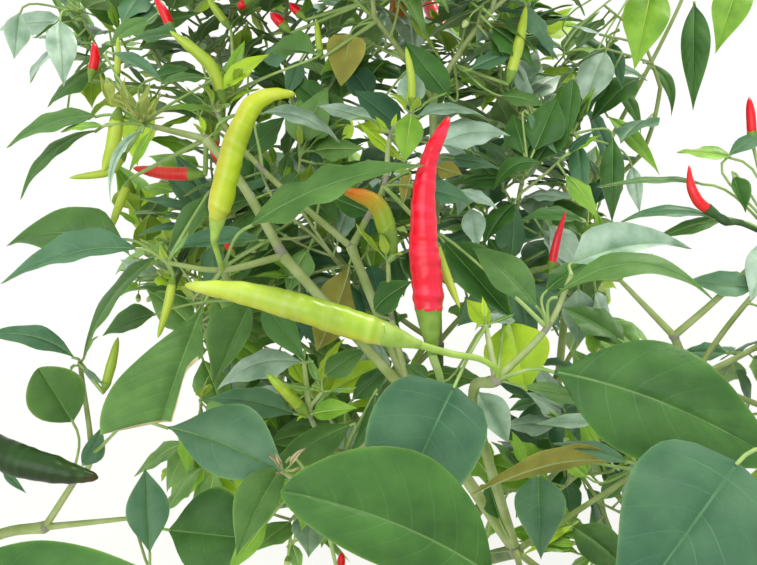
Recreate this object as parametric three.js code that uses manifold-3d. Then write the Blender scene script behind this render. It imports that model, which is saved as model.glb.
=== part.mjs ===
// A chilli pepper plant in fruit: a woody main stem that forks again and again into green
// limbs, masses of leaves on thin forking twigs, and slender pods that stand, lean or hang.
// Millimetres, +Z up, origin in the middle of the cut foot of the stem, at ground level.
import * as THREE from "three";
import { mergeVertices } from "three/addons/utils/BufferGeometryUtils.js";
import Module from "manifold-3d";

const wasm = await Module();
wasm.setup();

const radians = THREE.MathUtils.degToRad;
const UP = new THREE.Vector3(0, 0, 1);
const point = (x, y, z) => new THREE.Vector3(x, y, z);

// The picture's lens: where it is in mm, how far it looks down in degrees, and its focal
// length and middle in pixels of the 757 by 565 frame.
const LENS = { at: point(-35, -320, 620), pitch: radians(27), focal: 736, middle: [378.5, 282.5] };

// The point that shows at a pixel, `far` mm in front of the lens.
function seen(px, py, far) {
  const right = (px - LENS.middle[0]) / LENS.focal;
  const up = (LENS.middle[1] - py) / LENS.focal;
  return point(
    LENS.at.x + far * right,
    LENS.at.y + far * (Math.cos(LENS.pitch) + up * Math.sin(LENS.pitch)),
    LENS.at.z + far * (up * Math.cos(LENS.pitch) - Math.sin(LENS.pitch)),
  );
}

// Where a point shows: pixel x, pixel y and mm in front of the lens.
function shownAt(p) {
  const from = p.clone().sub(LENS.at);
  const far = from.y * Math.cos(LENS.pitch) - from.z * Math.sin(LENS.pitch);
  const up = from.y * Math.sin(LENS.pitch) + from.z * Math.cos(LENS.pitch);
  return [
    LENS.middle[0] + (LENS.focal * from.x) / far,
    LENS.middle[1] - (LENS.focal * up) / far,
    far,
  ];
}

// Sizes in mm and turns in degrees.
const STEM = { foot: 7.6, top: 5.2, flare: 1.7, flareHeight: 34, cut: 4 };
const GAP = 0.3; // between a limb and what grows on from it
const SHORTEST_PRONG = 3;
const TWIG = { tip: 0.8, perFork: 0.3 };
const SHOOT = { first: 46, shorter: 0.86, forks: 2, forkTurn: 31, forkSpread: 12, lift: 0.16 };
const LEAF = { shortest: 60, longest: 84, wide: 0.45, thick: 0.014, droop: 0.7, sunk: 0.5 };
const LEAVES = { perTwig: 2, perTip: 4, spread: 0.8 };
const POD = { shortest: 44, longest: 68, radius: 5.2, stalk: 24, share: 0.2 };
const STALK = { radius: 0.9, podRadius: 1.2 };
const GOLDEN_TURN = radians(137.5);
const OPEN_FRONT = 335; // nearer to the lens than this only what shows in the picture grows
const SEED = 20107;

// Forks, bends and nodes: those that the picture shows by pixel and distance.
const PLACES = {
  foot: point(0, 0, 0),
  stem_bend: point(5, 3, 110),
  first_fork: point(-2, 5, 205),
  crown_fork: point(4, 1, 260),
  left_bend: point(-95, -42, 268),
  left_fork: seen(-48, 556, 322),
  low_left_node: seen(45, 527, 312),
  low_fork: seen(516, 551, 335),
  middle_fork: seen(412, 398, 300),
  diagonal_node: seen(283, 256, 288),
  diagonal_bend: seen(243, 186, 287),
  upper_left_node: seen(206, 139, 284),
  upright_bend: seen(366, 284, 309),
  upright_node: seen(351, 247, 312),
  right_bend: seen(474, 404, 282),
  right_node: seen(496, 380, 260),
  back_left_fork: point(-72, 70, 368),
  back_left_node: point(-98, 96, 468),
  back_right_fork: point(76, 58, 362),
  back_right_node: point(84, 98, 458),
  right_fork: point(128, -2, 402),
  right_edge_node: seen(674, 336, 300),
  centre_fork: point(-2, 28, 405),
  top_node: point(-8, 48, 535),
  apex: seen(143, 124, 272),
  left_twig: seen(222, 270, 276),
  left_twig_end: seen(168, 263, 268),
  left_hidden_twig: seen(240, 300, 295),
  inner_bend: seen(345, 452, 299),
  inner_node: seen(310, 416, 292),
  inner_tip: seen(322, 392, 290),
  inner_rise: seen(392, 320, 300),
  inner_rise_tip: seen(388, 262, 294),
  upper_left_shoot: seen(217, 112, 300),
  upper_left_bend: seen(262, 169, 309),
  upper_left_tip: seen(236, 92, 302),
  centre_bend: seen(366, 220, 311),
  centre_twig: seen(384, 186, 305),
  centre_shoot: seen(391, 134, 301),
  centre_shoot_tip: seen(411, 114, 298),
  right_twig: seen(547, 328, 263),
  right_twig_tip: seen(571, 276, 262),
  right_side_shoot: seen(486, 326, 272),
  low_near_twig: seen(528, 602, 240),
  low_right_twig: seen(640, 470, 290),
  low_left_shoot: seen(74, 482, 304),
  low_left_shoot_tip: seen(91, 455, 300),
  low_left_upper: seen(80, 363, 294),
  low_left_arm: seen(132, 518, 306),
  left_near_twig: seen(-62, 588, 228),
  right_edge_left: seen(620, 280, 305),
  right_edge_right: seen(720, 296, 292),
  right_edge_top: seen(778, 240, 288),
  right_outer_bend: seen(822, 432, 306),
  right_near_twig: seen(806, 452, 218),
  top_right_twig: seen(690, -22, 440),
  top_right_end: seen(640, -26, 446),
};

// The stem, boughs and branches: the places each one runs through, and its radius at each end.
const LIMBS = {
  main_stem: [["foot", "stem_bend", "first_fork"], STEM.foot, STEM.top],
  upper_stem: [["first_fork", "crown_fork"], 4.5, 4.1],
  bough_left: [["first_fork", "left_bend", "left_fork"], 3.6, 2.5],
  bough_front: [["crown_fork", "low_fork"], 3.8, 3.1],
  bough_centre: [["crown_fork", "centre_fork"], 3.4, 2.7],
  bough_back_left: [["crown_fork", "back_left_fork"], 3.4, 2.7],
  bough_back_right: [["crown_fork", "back_right_fork"], 3.4, 2.7],
  branch_low_left: [["left_fork", "low_left_node"], 2.3, 2.2],
  branch_middle: [["low_fork", "middle_fork"], 2.7, 2.5],
  branch_right: [["low_fork", "right_bend", "right_node"], 2.2, 1.9],
  branch_diagonal: [["middle_fork", "diagonal_node"], 2.2, 2.0],
  branch_upper_left: [["diagonal_node", "diagonal_bend", "upper_left_node"], 1.9, 1.7],
  branch_upright: [["middle_fork", "upright_bend", "upright_node"], 2.1, 1.9],
  branch_back_left: [["back_left_fork", "back_left_node"], 2.4, 2.1],
  branch_back_right: [["back_right_fork", "back_right_node"], 2.4, 2.1],
  branch_right_side: [["back_right_fork", "right_fork"], 2.3, 2.1],
  branch_right_front: [["right_fork", "right_edge_node"], 1.9, 1.7],
  branch_top: [["centre_fork", "top_node"], 2.4, 2.0],
};

// The masses that the picture shows. Twigs run through places. A leaf is the place it grows
// from, the foot and the tip of its blade as [pixel x, pixel y, mm away], its width in mm and
// how many degrees its upper face turns towards the lens. A pod is the place it grows from,
// its calyx, middle and tip the same way, and its radius in mm.
const SHOWN = {
  foliage_left: {
    twigs: [["diagonal_node", "left_twig", "left_twig_end"], ["left_twig", "left_hidden_twig"]],
    leaves: [
      ["left_twig", [250, 228, 264], [425, 165, 256], 28, 4],
      ["left_twig_end", [138, 249, 262], [0, 284, 256], 30, 14],
      ["left_twig_end", [124, 240, 272], [14, 238, 276], 30, 16],
      ["left_twig", [208, 299, 266], [108, 442, 236], 35, 20],
      ["left_hidden_twig", [250, 306, 290], [213, 388, 276], 25, 30],
      ["left_hidden_twig", [262, 318, 290], [238, 372, 272], 22, 40],
    ],
    pods: [["left_twig_end", [172, 283, 270], [168, 305, 268], [158, 338, 264], 1.9]],
  },
  foliage_apex: {
    twigs: [["upper_left_node", "apex"]],
    leaves: [
      ["apex", [98, 116, 270], [6, 148, 262], 24, 16],
      ["apex", [94, 136, 276], [21, 194, 266], 20, 8],
      ["apex", [138, 134, 268], [110, 207, 250], 9, -20],
      ["apex", [150, 96, 276], [200, 78, 290], 20, 30],
      ["apex", [128, 76, 280], [160, 46, 296], 16, 30],
    ],
    pods: [
      ["apex", [117, 120, 268], [113, 148, 266], [104, 178, 262], 3.4],
      ["apex", [120, 160, 274], [110, 172, 272], [68, 178, 268], 1.8],
      ["upper_left_node", [134, 186, 290], [122, 206, 288], [112, 232, 284], 1.8],
    ],
  },
  foliage_upper_left: {
    twigs: [["upright_node", "upper_left_bend", "upper_left_shoot", "upper_left_tip"]],
    leaves: [
      ["upper_left_tip", [224, 84, 294], [312, 42, 300], 20, 26],
      ["upper_left_bend", [262, 114, 312], [341, 144, 322], 27, 18],
      ["upper_left_shoot", [205, 84, 300], [132, 66, 306], 20, 12],
      ["upper_left_shoot", [206, 104, 302], [146, 108, 300], 13, 0],
      ["upper_left_tip", [246, 70, 306], [292, 22, 330], 20, 20],
    ],
    pods: [["upper_left_shoot", [216, 88, 296], [204, 66, 292], [182, 44, 288], 2.6]],
  },
  foliage_centre: {
    twigs: [["upright_node", "centre_bend", "centre_twig", "centre_shoot", "centre_shoot_tip"]],
    leaves: [
      ["centre_shoot_tip", [425, 114, 300], [489, 120, 312], 19, 8],
      ["centre_shoot_tip", [409, 118, 296], [406, 161, 284], 15, 48],
      ["centre_shoot_tip", [411, 104, 302], [410, 70, 310], 15, 58],
      ["centre_shoot", [440, 146, 300], [511, 136, 312], 27, 24],
      ["centre_shoot", [372, 126, 310], [318, 108, 322], 20, 12],
      ["centre_bend", [346, 266, 326], [314, 352, 310], 25, -36],
    ],
    pods: [
      ["centre_shoot_tip", [412, 100, 298], [411, 76, 297], [406, 47, 298], 1.9],
      ["centre_twig", [436, 246, 276], [445, 272, 273], [460, 308, 268], 2.1],
    ],
  },
  foliage_inner: {
    twigs: [
      ["middle_fork", "inner_bend", "inner_node", "inner_tip"],
    ],
    leaves: [
      ["inner_node", [295, 412, 290], [205, 402, 293], 20, 10],
      ["inner_node", [316, 416, 288], [358, 408, 283], 14, 24],
      ["inner_tip", [324, 376, 292], [368, 349, 300], 20, 22],
      ["inner_tip", [301, 362, 302], [218, 394, 304], 20, 6],
      ["inner_bend", [345, 425, 302], [262, 468, 290], 28, 22],
    ],
    pods: [],
  },
  foliage_rise: {
    twigs: [["middle_fork", "inner_rise", "inner_rise_tip"]],
    leaves: [["inner_rise", [374, 311, 297], [412, 282, 290], 20, 24]],
    pods: [],
  },
  foliage_right: {
    twigs: [["right_node", "right_twig", "right_twig_tip"], ["right_node", "right_side_shoot"]],
    leaves: [
      ["right_node", [551, 371, 254], [792, 474, 236], 40, 46],
      ["right_node", [522, 386, 262], [640, 430, 262], 22, 6],
      ["right_twig_tip", [574, 270, 262], [692, 249, 274], 30, 30],
      ["right_twig", [556, 297, 258], [708, 298, 250], 33, 22],
      ["right_twig", [541, 290, 270], [470, 246, 288], 25, 22],
      ["right_twig", [514, 300, 290], [441, 242, 300], 31, 30],
      ["right_side_shoot", [459, 386, 252], [388, 484, 214], 38, 40],
      ["right_side_shoot", [492, 322, 276], [466, 296, 284], 15, 20],
      ["right_node", [521, 324, 290], [522, 392, 276], 25, 44],
    ],
    pods: [],
  },
  foliage_low: {
    twigs: [["low_fork", "low_near_twig"], ["low_fork", "low_right_twig"]],
    leaves: [
      ["low_near_twig", [493, 577, 216], [279, 494, 204], 31, 44],
      ["low_right_twig", [627, 462, 286], [470, 494, 262], 27, -48],
      ["low_fork", [572, 526, 322], [640, 562, 306], 22, 26],
      ["low_right_twig", [538, 476, 300], [546, 550, 284], 22, 46],
      ["low_right_twig", [604, 432, 300], [560, 404, 306], 20, 30],
    ],
    pods: [],
  },
  foliage_low_left: {
    twigs: [
      ["low_left_node", "low_left_shoot", "low_left_shoot_tip", "low_left_upper"],
      ["low_left_node", "low_left_arm"],
    ],
    leaves: [
      ["low_left_shoot_tip", [167, 427, 264], [277, 470, 256], 35, 34],
      ["low_left_shoot", [73, 424, 288], [28, 380, 284], 26, 48],
      ["low_left_upper", [73, 357, 286], [-14, 334, 280], 26, 16],
      ["low_left_upper", [84, 352, 288], [138, 281, 296], 20, -30],
      ["low_left_arm", [147, 554, 270], [146, 470, 280], 21, 52],
      ["low_left_shoot_tip", [86, 474, 290], [118, 438, 294], 16, 40],
      ["low_left_arm", [176, 552, 290], [238, 492, 300], 32, 40],
      ["low_left_upper", [86, 372, 292], [108, 386, 294], 8, 20],
    ],
    pods: [["low_left_upper", [108, 382, 290], [111, 360, 290], [118, 337, 291], 2.3]],
  },
  foliage_near_left: {
    twigs: [["left_fork", "left_near_twig"]],
    leaves: [
      ["left_near_twig", [-40, 572, 206], [166, 596, 196], 30, 30],
      ["left_near_twig", [-88, 600, 240], [-200, 560, 262], 30, 10],
    ],
    pods: [],
  },
  foliage_right_edge: {
    twigs: [
      ["right_edge_node", "right_edge_left"],
      ["right_edge_node", "right_edge_right", "right_edge_top"],
    ],
    leaves: [
      ["right_edge_top", [704, 183, 298], [600, 188, 294], 12, 0],
      ["right_edge_top", [712, 217, 286], [618, 223, 292], 15, 4],
      ["right_edge_right", [757, 288, 280], [688, 282, 290], 20, 22],
      ["right_edge_top", [762, 168, 290], [706, 150, 298], 16, 6],
      ["right_edge_left", [616, 274, 306], [568, 270, 316], 18, 12],
      ["right_edge_top", [812, 236, 282], [900, 262, 270], 28, 10],
    ],
    pods: [["right_edge_top", [752, 134, 290], [751, 116, 290], [749, 97, 291], 2.1]],
  },
  foliage_right_near: {
    twigs: [["right_fork", "right_outer_bend", "right_near_twig"]],
    leaves: [["right_near_twig", [740, 478, 200], [596, 640, 186], 45, 50]],
    pods: [],
  },
  foliage_top_right: {
    twigs: [["back_right_node", "top_right_twig", "top_right_end"]],
    leaves: [
      ["top_right_end", [642, -8, 442], [640, 70, 424], 27, 60],
      ["top_right_twig", [696, 6, 440], [694, 108, 426], 24, 40],
      ["top_right_twig", [738, -14, 440], [712, 54, 426], 30, 50],
      ["top_right_end", [650, 62, 446], [674, 116, 440], 18, 30],
      ["top_right_end", [612, 12, 450], [560, 40, 456], 24, 20],
    ],
    pods: [],
  },
};

// The large pods, each a solid of its own: [place it grows from, calyx, middle, tip, radius, colour].
const PODS = {
  pod_long_green: ["right_node", [404, 342, 254], [300, 306, 252], [186, 286, 252], 5.9, "green"],
  pod_red_upright: ["right_bend", [431, 318, 262], [419, 228, 262], [449, 116, 266], 5.7, "red"],
  pod_curved_green: ["left_twig", [214, 226, 262], [236, 142, 262], [293, 92, 262], 4.8, "green"],
  pod_orange: ["inner_rise_tip", [389, 236, 288], [376, 204, 288], [342, 190, 288], 4.0, "orange"],
  pod_red_level: ["upper_left_node", [192, 174, 300], [163, 173, 300], [133, 168, 298], 2.8, "red"],
  pod_red_small: ["right_edge_left", [552, 264, 320], [557, 240, 320], [566, 211, 322], 2.6, "red"],
  pod_red_edge: ["right_edge_top", [704, 209, 280], [694, 192, 280], [688, 165, 282], 2.8, "red"],
  pod_dark: ["left_fork", [-40, 424, 262], [30, 454, 256], [98, 478, 254], 5.2, "dark"],
  pod_lime_low: ["inner_node", [301, 408, 288], [288, 394, 287], [267, 374, 286], 2.9, "green"],
};

// The masses that a rule grows: the fork each one starts from, and its space as a middle and a
// radius.
const GROWN = {
  foliage_back_left_low: ["back_left_fork", point(-150, 92, 440), 96],
  foliage_back_left_high: ["back_left_node", point(-160, 112, 562), 98],
  foliage_back_high: ["back_left_node", point(-62, 152, 578), 98],
  foliage_back_low: ["back_left_fork", point(-36, 150, 446), 96],
  foliage_back_right_low: ["back_right_fork", point(136, 122, 420), 92],
  foliage_back_right_high: ["back_right_node", point(142, 70, 532), 90],
  foliage_back: ["back_right_node", point(36, 176, 530), 96],
  foliage_right_low: ["right_fork", point(196, 18, 430), 84],
  foliage_right_front: ["right_fork", point(150, -96, 400), 84],
  foliage_centre_left: ["centre_fork", point(-88, 18, 486), 92],
  foliage_centre_right: ["centre_fork", point(60, 6, 492), 92],
  foliage_top_left: ["top_node", point(-72, 36, 622), 96],
  foliage_top_right_high: ["top_node", point(52, 58, 626), 96],
  foliage_front_low: ["low_fork", point(48, -150, 402), 84],
  foliage_left_low: ["left_fork", point(-240, -14, 400), 84],
  foliage_left_high: ["left_fork", point(-272, -76, 446), 84],
  foliage_right_high: ["right_fork", point(204, 44, 496), 90],
  foliage_inner_left: ["back_left_fork", point(-126, 2, 396), 84],
  foliage_inner_right: ["back_right_fork", point(72, -22, 380), 80],
  foliage_inner_front: ["centre_fork", point(-44, -22, 384), 80],
};

const COLOURS = {
  bark: new THREE.Color(0.33, 0.26, 0.17),
  stem: new THREE.Color(0.3, 0.42, 0.16),
  leaf: new THREE.Color(0.1, 0.26, 0.07),
  green: new THREE.Color(0.45, 0.62, 0.1),
  red: new THREE.Color(0.78, 0.03, 0.04),
  orange: new THREE.Color(0.85, 0.35, 0.05),
  dark: new THREE.Color(0.04, 0.08, 0.03),
};

// A repeatable run of numbers from 0 to 1.
function seeded(seed) {
  let state = seed >>> 0;
  return () => {
    state = (state + 0x6d2b79f5) >>> 0;
    let mixed = Math.imul(state ^ (state >>> 15), state | 1);
    mixed = (mixed + Math.imul(mixed ^ (mixed >>> 7), mixed | 61)) ^ mixed;
    return ((mixed ^ (mixed >>> 14)) >>> 0) / 4294967296;
  };
}

// A direction square to `axis`, turned by `angle` round it.
function square(axis, angle) {
  const hint = Math.abs(axis.z) < 0.9 ? UP : point(1, 0, 0);
  const side = hint.clone().cross(axis).normalize();
  return side.applyAxisAngle(axis, angle);
}

// The part of `wanted` that is square to `axis`.
const squared = (wanted, axis) =>
  wanted.clone().addScaledVector(axis, -wanted.dot(axis)).normalize();

function geometryOf(vertices, faces) {
  const geometry = new THREE.BufferGeometry();
  const numbers = vertices.flatMap((v) => [v.x, v.y, v.z]);
  geometry.setAttribute("position", new THREE.Float32BufferAttribute(numbers, 3));
  geometry.setIndex(faces.flat());
  return geometry;
}

function solid(geometry) {
  const merged = mergeVertices(geometry);
  const made = new wasm.Manifold(
    new wasm.Mesh({
      numProp: 3,
      vertProperties: new Float32Array(merged.attributes.position.array),
      triVerts: new Uint32Array(merged.index.array),
    }),
  );
  return made;
}

// A closed tube through points, with a radius at each one.
function tube(points, radii, sides) {
  const vertices = [];
  const faces = [];
  let side = null;
  points.forEach((p, i) => {
    const before = points[Math.max(i - 1, 0)];
    const after = points[Math.min(i + 1, points.length - 1)];
    const along = after.clone().sub(before).normalize();
    side = side ? squared(side, along) : square(along, 0);
    for (let k = 0; k < sides; k++) {
      const spoke = side.clone().applyAxisAngle(along, (2 * Math.PI * k) / sides);
      vertices.push(p.clone().addScaledVector(spoke, radii[i]));
    }
  });
  const last = (points.length - 1) * sides;
  for (let i = 0; i < last; i += sides)
    for (let k = 0; k < sides; k++) {
      const next = (k + 1) % sides;
      faces.push([i + k, i + next, i + sides + next], [i + k, i + sides + next, i + sides + k]);
    }
  for (let k = 1; k < sides - 1; k++) {
    faces.push([0, k + 1, k]);
    faces.push([last, last + k, last + k + 1]);
  }
  return solid(geometryOf(vertices, faces));
}

// A leaf as one closed skin of four-cornered rings: those of its stalk, if it has one, then those
// of its blade, which arches along its length and has a ridge at the midrib. Rows of a blade are
// [share of the length, share of the width].
const PLAIN_ROWS = [[0.46, 1]];
const SHOWN_ROWS = [[0.24, 0.94], [0.6, 0.86]];
function leaf(root, foot, tip, face, width, rows) {
  const along = tip.clone().sub(foot).normalize();
  const side = along.clone().cross(face).normalize();
  const length = foot.distanceTo(tip);
  const vertices = [];
  const ring = (middle, towardsFace, towardsSide, drop) => {
    const edge = middle.clone().sub(drop);
    vertices.push(
      middle.clone().add(towardsFace),
      edge.clone().add(towardsSide),
      middle.clone().sub(towardsFace),
      edge.clone().sub(towardsSide),
    );
  };
  const flat = point(0, 0, 0);
  const stalkRing = (at, heading) => {
    const across = squared(side, heading);
    const over = across.clone().cross(heading).multiplyScalar(STALK.radius);
    ring(at, over, across.multiplyScalar(STALK.radius), flat);
  };
  if (root) {
    const heading = foot.clone().sub(root).normalize();
    stalkRing(root, heading);
    stalkRing(foot, heading.add(along).normalize());
  } else {
    vertices.push(foot);
  }
  for (const [share, wide] of rows) {
    const arch = length * 0.2 * share * (1 - share);
    const middle = foot.clone().lerp(tip, share).addScaledVector(face, arch);
    const thick = face.clone().multiplyScalar((length * LEAF.thick) / 2);
    const half = side.clone().multiplyScalar((width * wide) / 2);
    ring(middle, thick, half, face.clone().multiplyScalar(width * 0.06));
  }
  vertices.push(tip);
  const faces = root ? [[0, 2, 1], [0, 3, 2]] : [];
  const last = vertices.length - 1;
  for (let k = 0; k < 4; k++) {
    const next = (k + 1) % 4;
    if (!root) faces.push([0, 1 + next, 1 + k]);
    faces.push([last, last - 4 + k, last - 4 + next]);
    for (let row = root ? 0 : 1; row < last - 4; row += 4)
      faces.push([row + k, row + next, row + 4 + next], [row + k, row + 4 + next, row + 4 + k]);
  }
  return solid(geometryOf(vertices, faces));
}

// A pod along a smooth line: a thin stalk, the calyx cup, and a body that tapers to its tip.
const LARGE_POD = { sides: 8, body: [[0, 0.62], [0.12, 0.9], [0.35, 1], [0.6, 0.9], [0.82, 0.6], [1, 0.16]] };
const SMALL_POD = { sides: 4, body: [[0, 0.75], [0.4, 1.05], [0.75, 0.8], [1, 0.2]] };
function pod(root, calyx, middle, tip, radius, { sides, body }) {
  const line = new THREE.CatmullRomCurve3([calyx, middle, tip], false, "catmullrom");
  const neckLength = Math.min(radius * 1.6, root.distanceTo(calyx) * 0.45);
  const neck = calyx.clone().sub(middle).setLength(neckLength).add(calyx);
  const points = [root, neck, ...body.map(([share]) => line.getPoint(share))];
  const radii = [STALK.podRadius, STALK.podRadius, ...body.map(([, wide]) => radius * wide)];
  return tube(points, radii, sides);
}

// Pieces joined into one closed body, without the slivers, sealed hollows and loose scraps that
// their meeting leaves. Pieces are lifted by hundredths of a mm where two corners would be too
// close to tell apart; null where that doesn't help.
const SLIVER = 0.05;
const CORNERS_APART = 0.001;
const LIFTS = [0, 0.01, 0.02, 0.03, 0.04, 0.05];
function meshOf(body) {
  const { vertProperties, triVerts } = body.getMesh();
  const geometry = new THREE.BufferGeometry();
  geometry.setAttribute("position", new THREE.Float32BufferAttribute(vertProperties, 3));
  geometry.setIndex([...triVerts]);
  return geometry;
}
const largest = (bodies) => bodies.reduce((most, b) => (b.volume() > most.volume() ? b : most));
function fuse(pieces) {
  for (const lift of LIFTS) {
    const lifted = pieces.map((piece, i) => piece.translate([0, 0, lift * (i % 3)]));
    const joined = wasm.Manifold.union(lifted).asOriginal().simplify(SLIVER);
    const body = largest(joined.decompose());
    const corners = mergeVertices(meshOf(body), CORNERS_APART).attributes.position.count;
    if (corners === body.numVert()) return body;
  }
  return null;
}

// What already stands: solids with their boxes and the mass each belongs to.
const standing = [];
function boxOf(made) {
  const { min, max } = made.boundingBox();
  return new THREE.Box3(point(...min), point(...max));
}
function stand(made, owner = null) {
  standing.push({ made, box: boxOf(made), owner });
  return made;
}
const misses = (probe, box, other) =>
  !box.intersectsBox(other.box) || probe.intersect(other.made).isEmpty();
function isClear(probe) {
  const box = boxOf(probe);
  return standing.every((other) => misses(probe, box, other));
}

// Whether an item is clear of other nodes, and past its root of its own mass but what it grows from.
function hasRoom({ whole, free }, mass, under) {
  const box = boxOf(whole);
  return standing.every((other) =>
    other.owner === mass
      ? under.includes(other.made) || misses(free, box, other)
      : misses(whole, box, other),
  );
}

// Everything that starts at a place, as directions and radii, so that a fork reaches out to it.
const armsAt = {};
const addArm = (place, towards, radius) =>
  (armsAt[place] ??= []).push({
    heading: towards.clone().sub(PLACES[place]).normalize(),
    radius,
  });
const twigRadius = (forks) => TWIG.tip + TWIG.perFork * forks;
const stemHeading = ([place, middle]) => middle.clone().sub(PLACES[place]).normalize();

for (const [, [route, first]] of Object.entries(LIMBS)) addArm(route[0], PLACES[route[1]], first);
for (const { twigs } of Object.values(SHOWN)) {
  const [from] = twigs[0];
  for (const route of twigs.filter((r) => r[0] === from))
    if (route === twigs[0]) addArm(from, PLACES[route[1]], twigRadius(SHOOT.forks));
}
for (const grown of Object.values(GROWN))
  addArm(grown[0], PLACES[grown[0]].clone().add(stemHeading(grown)), twigRadius(SHOOT.forks));

// How far out a fork's arms have to reach for what grows on from them to be clear of each other.
function prongAt(place) {
  const arms = armsAt[place] ?? [];
  let reach = SHORTEST_PRONG;
  arms.forEach((a, i) =>
    arms.slice(i + 1).forEach((b) => {
      const half = a.heading.angleTo(b.heading) / 2;
      reach = Math.max(reach, (a.radius + b.radius + 2 * GAP) / (2 * Math.sin(half)));
    }),
  );
  return reach;
}

// A limb: a tapering tube that starts clear of the fork below and ends in the arms of its own.
const LIMB_SIDES = 6;
function limb([route, first, last]) {
  const start = PLACES[route[0]];
  const isStem = route[0] === "foot";
  const toNext = PLACES[route[1]].clone().sub(start).normalize();
  const foot = isStem ? start : start.clone().addScaledVector(toNext, prongAt(route[0]) + GAP);
  const points = [foot, ...route.slice(1).map((name) => PLACES[name])];
  const radii = points.map((_, i) => THREE.MathUtils.lerp(first, last, i / (points.length - 1)));
  if (isStem) {
    const collar = foot.clone().lerp(points[1], STEM.flareHeight / points[1].z);
    const buried = foot.clone().lerp(points[1], -STEM.cut / points[1].z);
    points.splice(0, 1, buried, foot.clone().lerp(collar, 0.35), collar);
    radii.splice(0, 1, first * STEM.flare, first * 1.16, first);
  }
  const end = route.at(-1);
  const arms = (armsAt[end] ?? []).map(({ heading, radius }) =>
    tube([PLACES[end], PLACES[end].clone().addScaledVector(heading, prongAt(end))],
      [last, radius * 1.12], LIMB_SIDES));
  const whole = fuse([tube(points, radii, LIMB_SIDES), ...arms]);
  return isStem ? whole.trimByPlane([0, 0, 1], 0) : whole;
}

// Whether a point would fill the space in front of what the picture shows, or one of its gaps.
const GAPS_SHOWN = [
  [-60, 132, 112, 625],
  [112, 300, 196, 470],
  [606, 96, 817, 345],
];
function spoilsPicture(p) {
  const [px, py, far] = shownAt(p);
  if (px < -60 || px > 817 || py < -60 || py > 625) return false;
  const inGap = GAPS_SHOWN.some(([x0, y0, x1, y1]) => px > x0 && px < x1 && py > y0 && py < y1);
  return far < OPEN_FRONT || inGap;
}

// What grows in a mass. Each has its solid, a slightly larger one that has to be clear of other
// nodes, the same without its root for its own mass, and the point where it ends.
const ROOT = 5;
const MARGIN = 0.4;
function twigItem(start, heading, length, forks) {
  const end = start.clone().addScaledVector(heading, length);
  const from = start.clone().addScaledVector(heading, ROOT);
  const radii = [twigRadius(forks) * 1.15, twigRadius(forks)];
  const wider = radii.map((r) => r + MARGIN);
  return {
    made: tube([start, end.clone().addScaledVector(heading, 0.6)], radii, 3),
    whole: tube([start, end], wider, 3),
    free: tube([from, end], wider, 3),
    start,
    end,
    heading,
  };
}

function leafItem(root, out, size, roll) {
  const tip = root.clone().addScaledVector(out, size);
  const ahead = root.clone().addScaledVector(out, ROOT);
  const beyond = tip.clone().addScaledVector(out, 1);
  const face = squared(UP, out).applyAxisAngle(out, roll);
  const width = size * LEAF.wide;
  const sunk = root.clone().addScaledVector(out, -LEAF.sunk);
  return {
    made: leaf(null, sunk, tip, face, width, PLAIN_ROWS),
    whole: leaf(null, sunk, beyond, face, width + 2 * MARGIN, PLAIN_ROWS),
    free: leaf(null, ahead, beyond, face, width + 2 * MARGIN, PLAIN_ROWS),
    end: tip,
  };
}

function podItem(root, lean, size) {
  const calyx = root.clone().addScaledVector(lean, POD.stalk);
  const tip = calyx.clone().addScaledVector(lean, size);
  const middle = calyx.clone().lerp(tip, 0.5).addScaledVector(UP, -size * 0.05);
  const ahead = root.clone().addScaledVector(lean, ROOT);
  return {
    made: pod(root, calyx, middle, tip, POD.radius, SMALL_POD),
    whole: pod(root, calyx, middle, tip, POD.radius + MARGIN, SMALL_POD),
    free: pod(ahead, calyx, middle, tip, POD.radius + MARGIN, SMALL_POD),
    end: tip,
  };
}

// Sets an item in its mass at the first of five turns where it keeps to the mass's space, leaves
// the picture as it is, is clear of all but what it grows from and joins the mass cleanly.
const TURNS = [0, 1.3, 2.6, 3.9, 5.2];
function place(mass, makeItem, under) {
  for (const turn of TURNS) {
    const item = makeItem(turn);
    const isOut = item.end.distanceTo(mass.middle) > mass.reach || spoilsPicture(item.end);
    if (isOut || !hasRoom(item, mass, under)) continue;
    const body = fuse([...mass.parts, item.made]);
    if (!body) continue;
    mass.body = body;
    mass.parts.push(stand(item.made, mass));
    return item;
  }
  return null;
}

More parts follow.
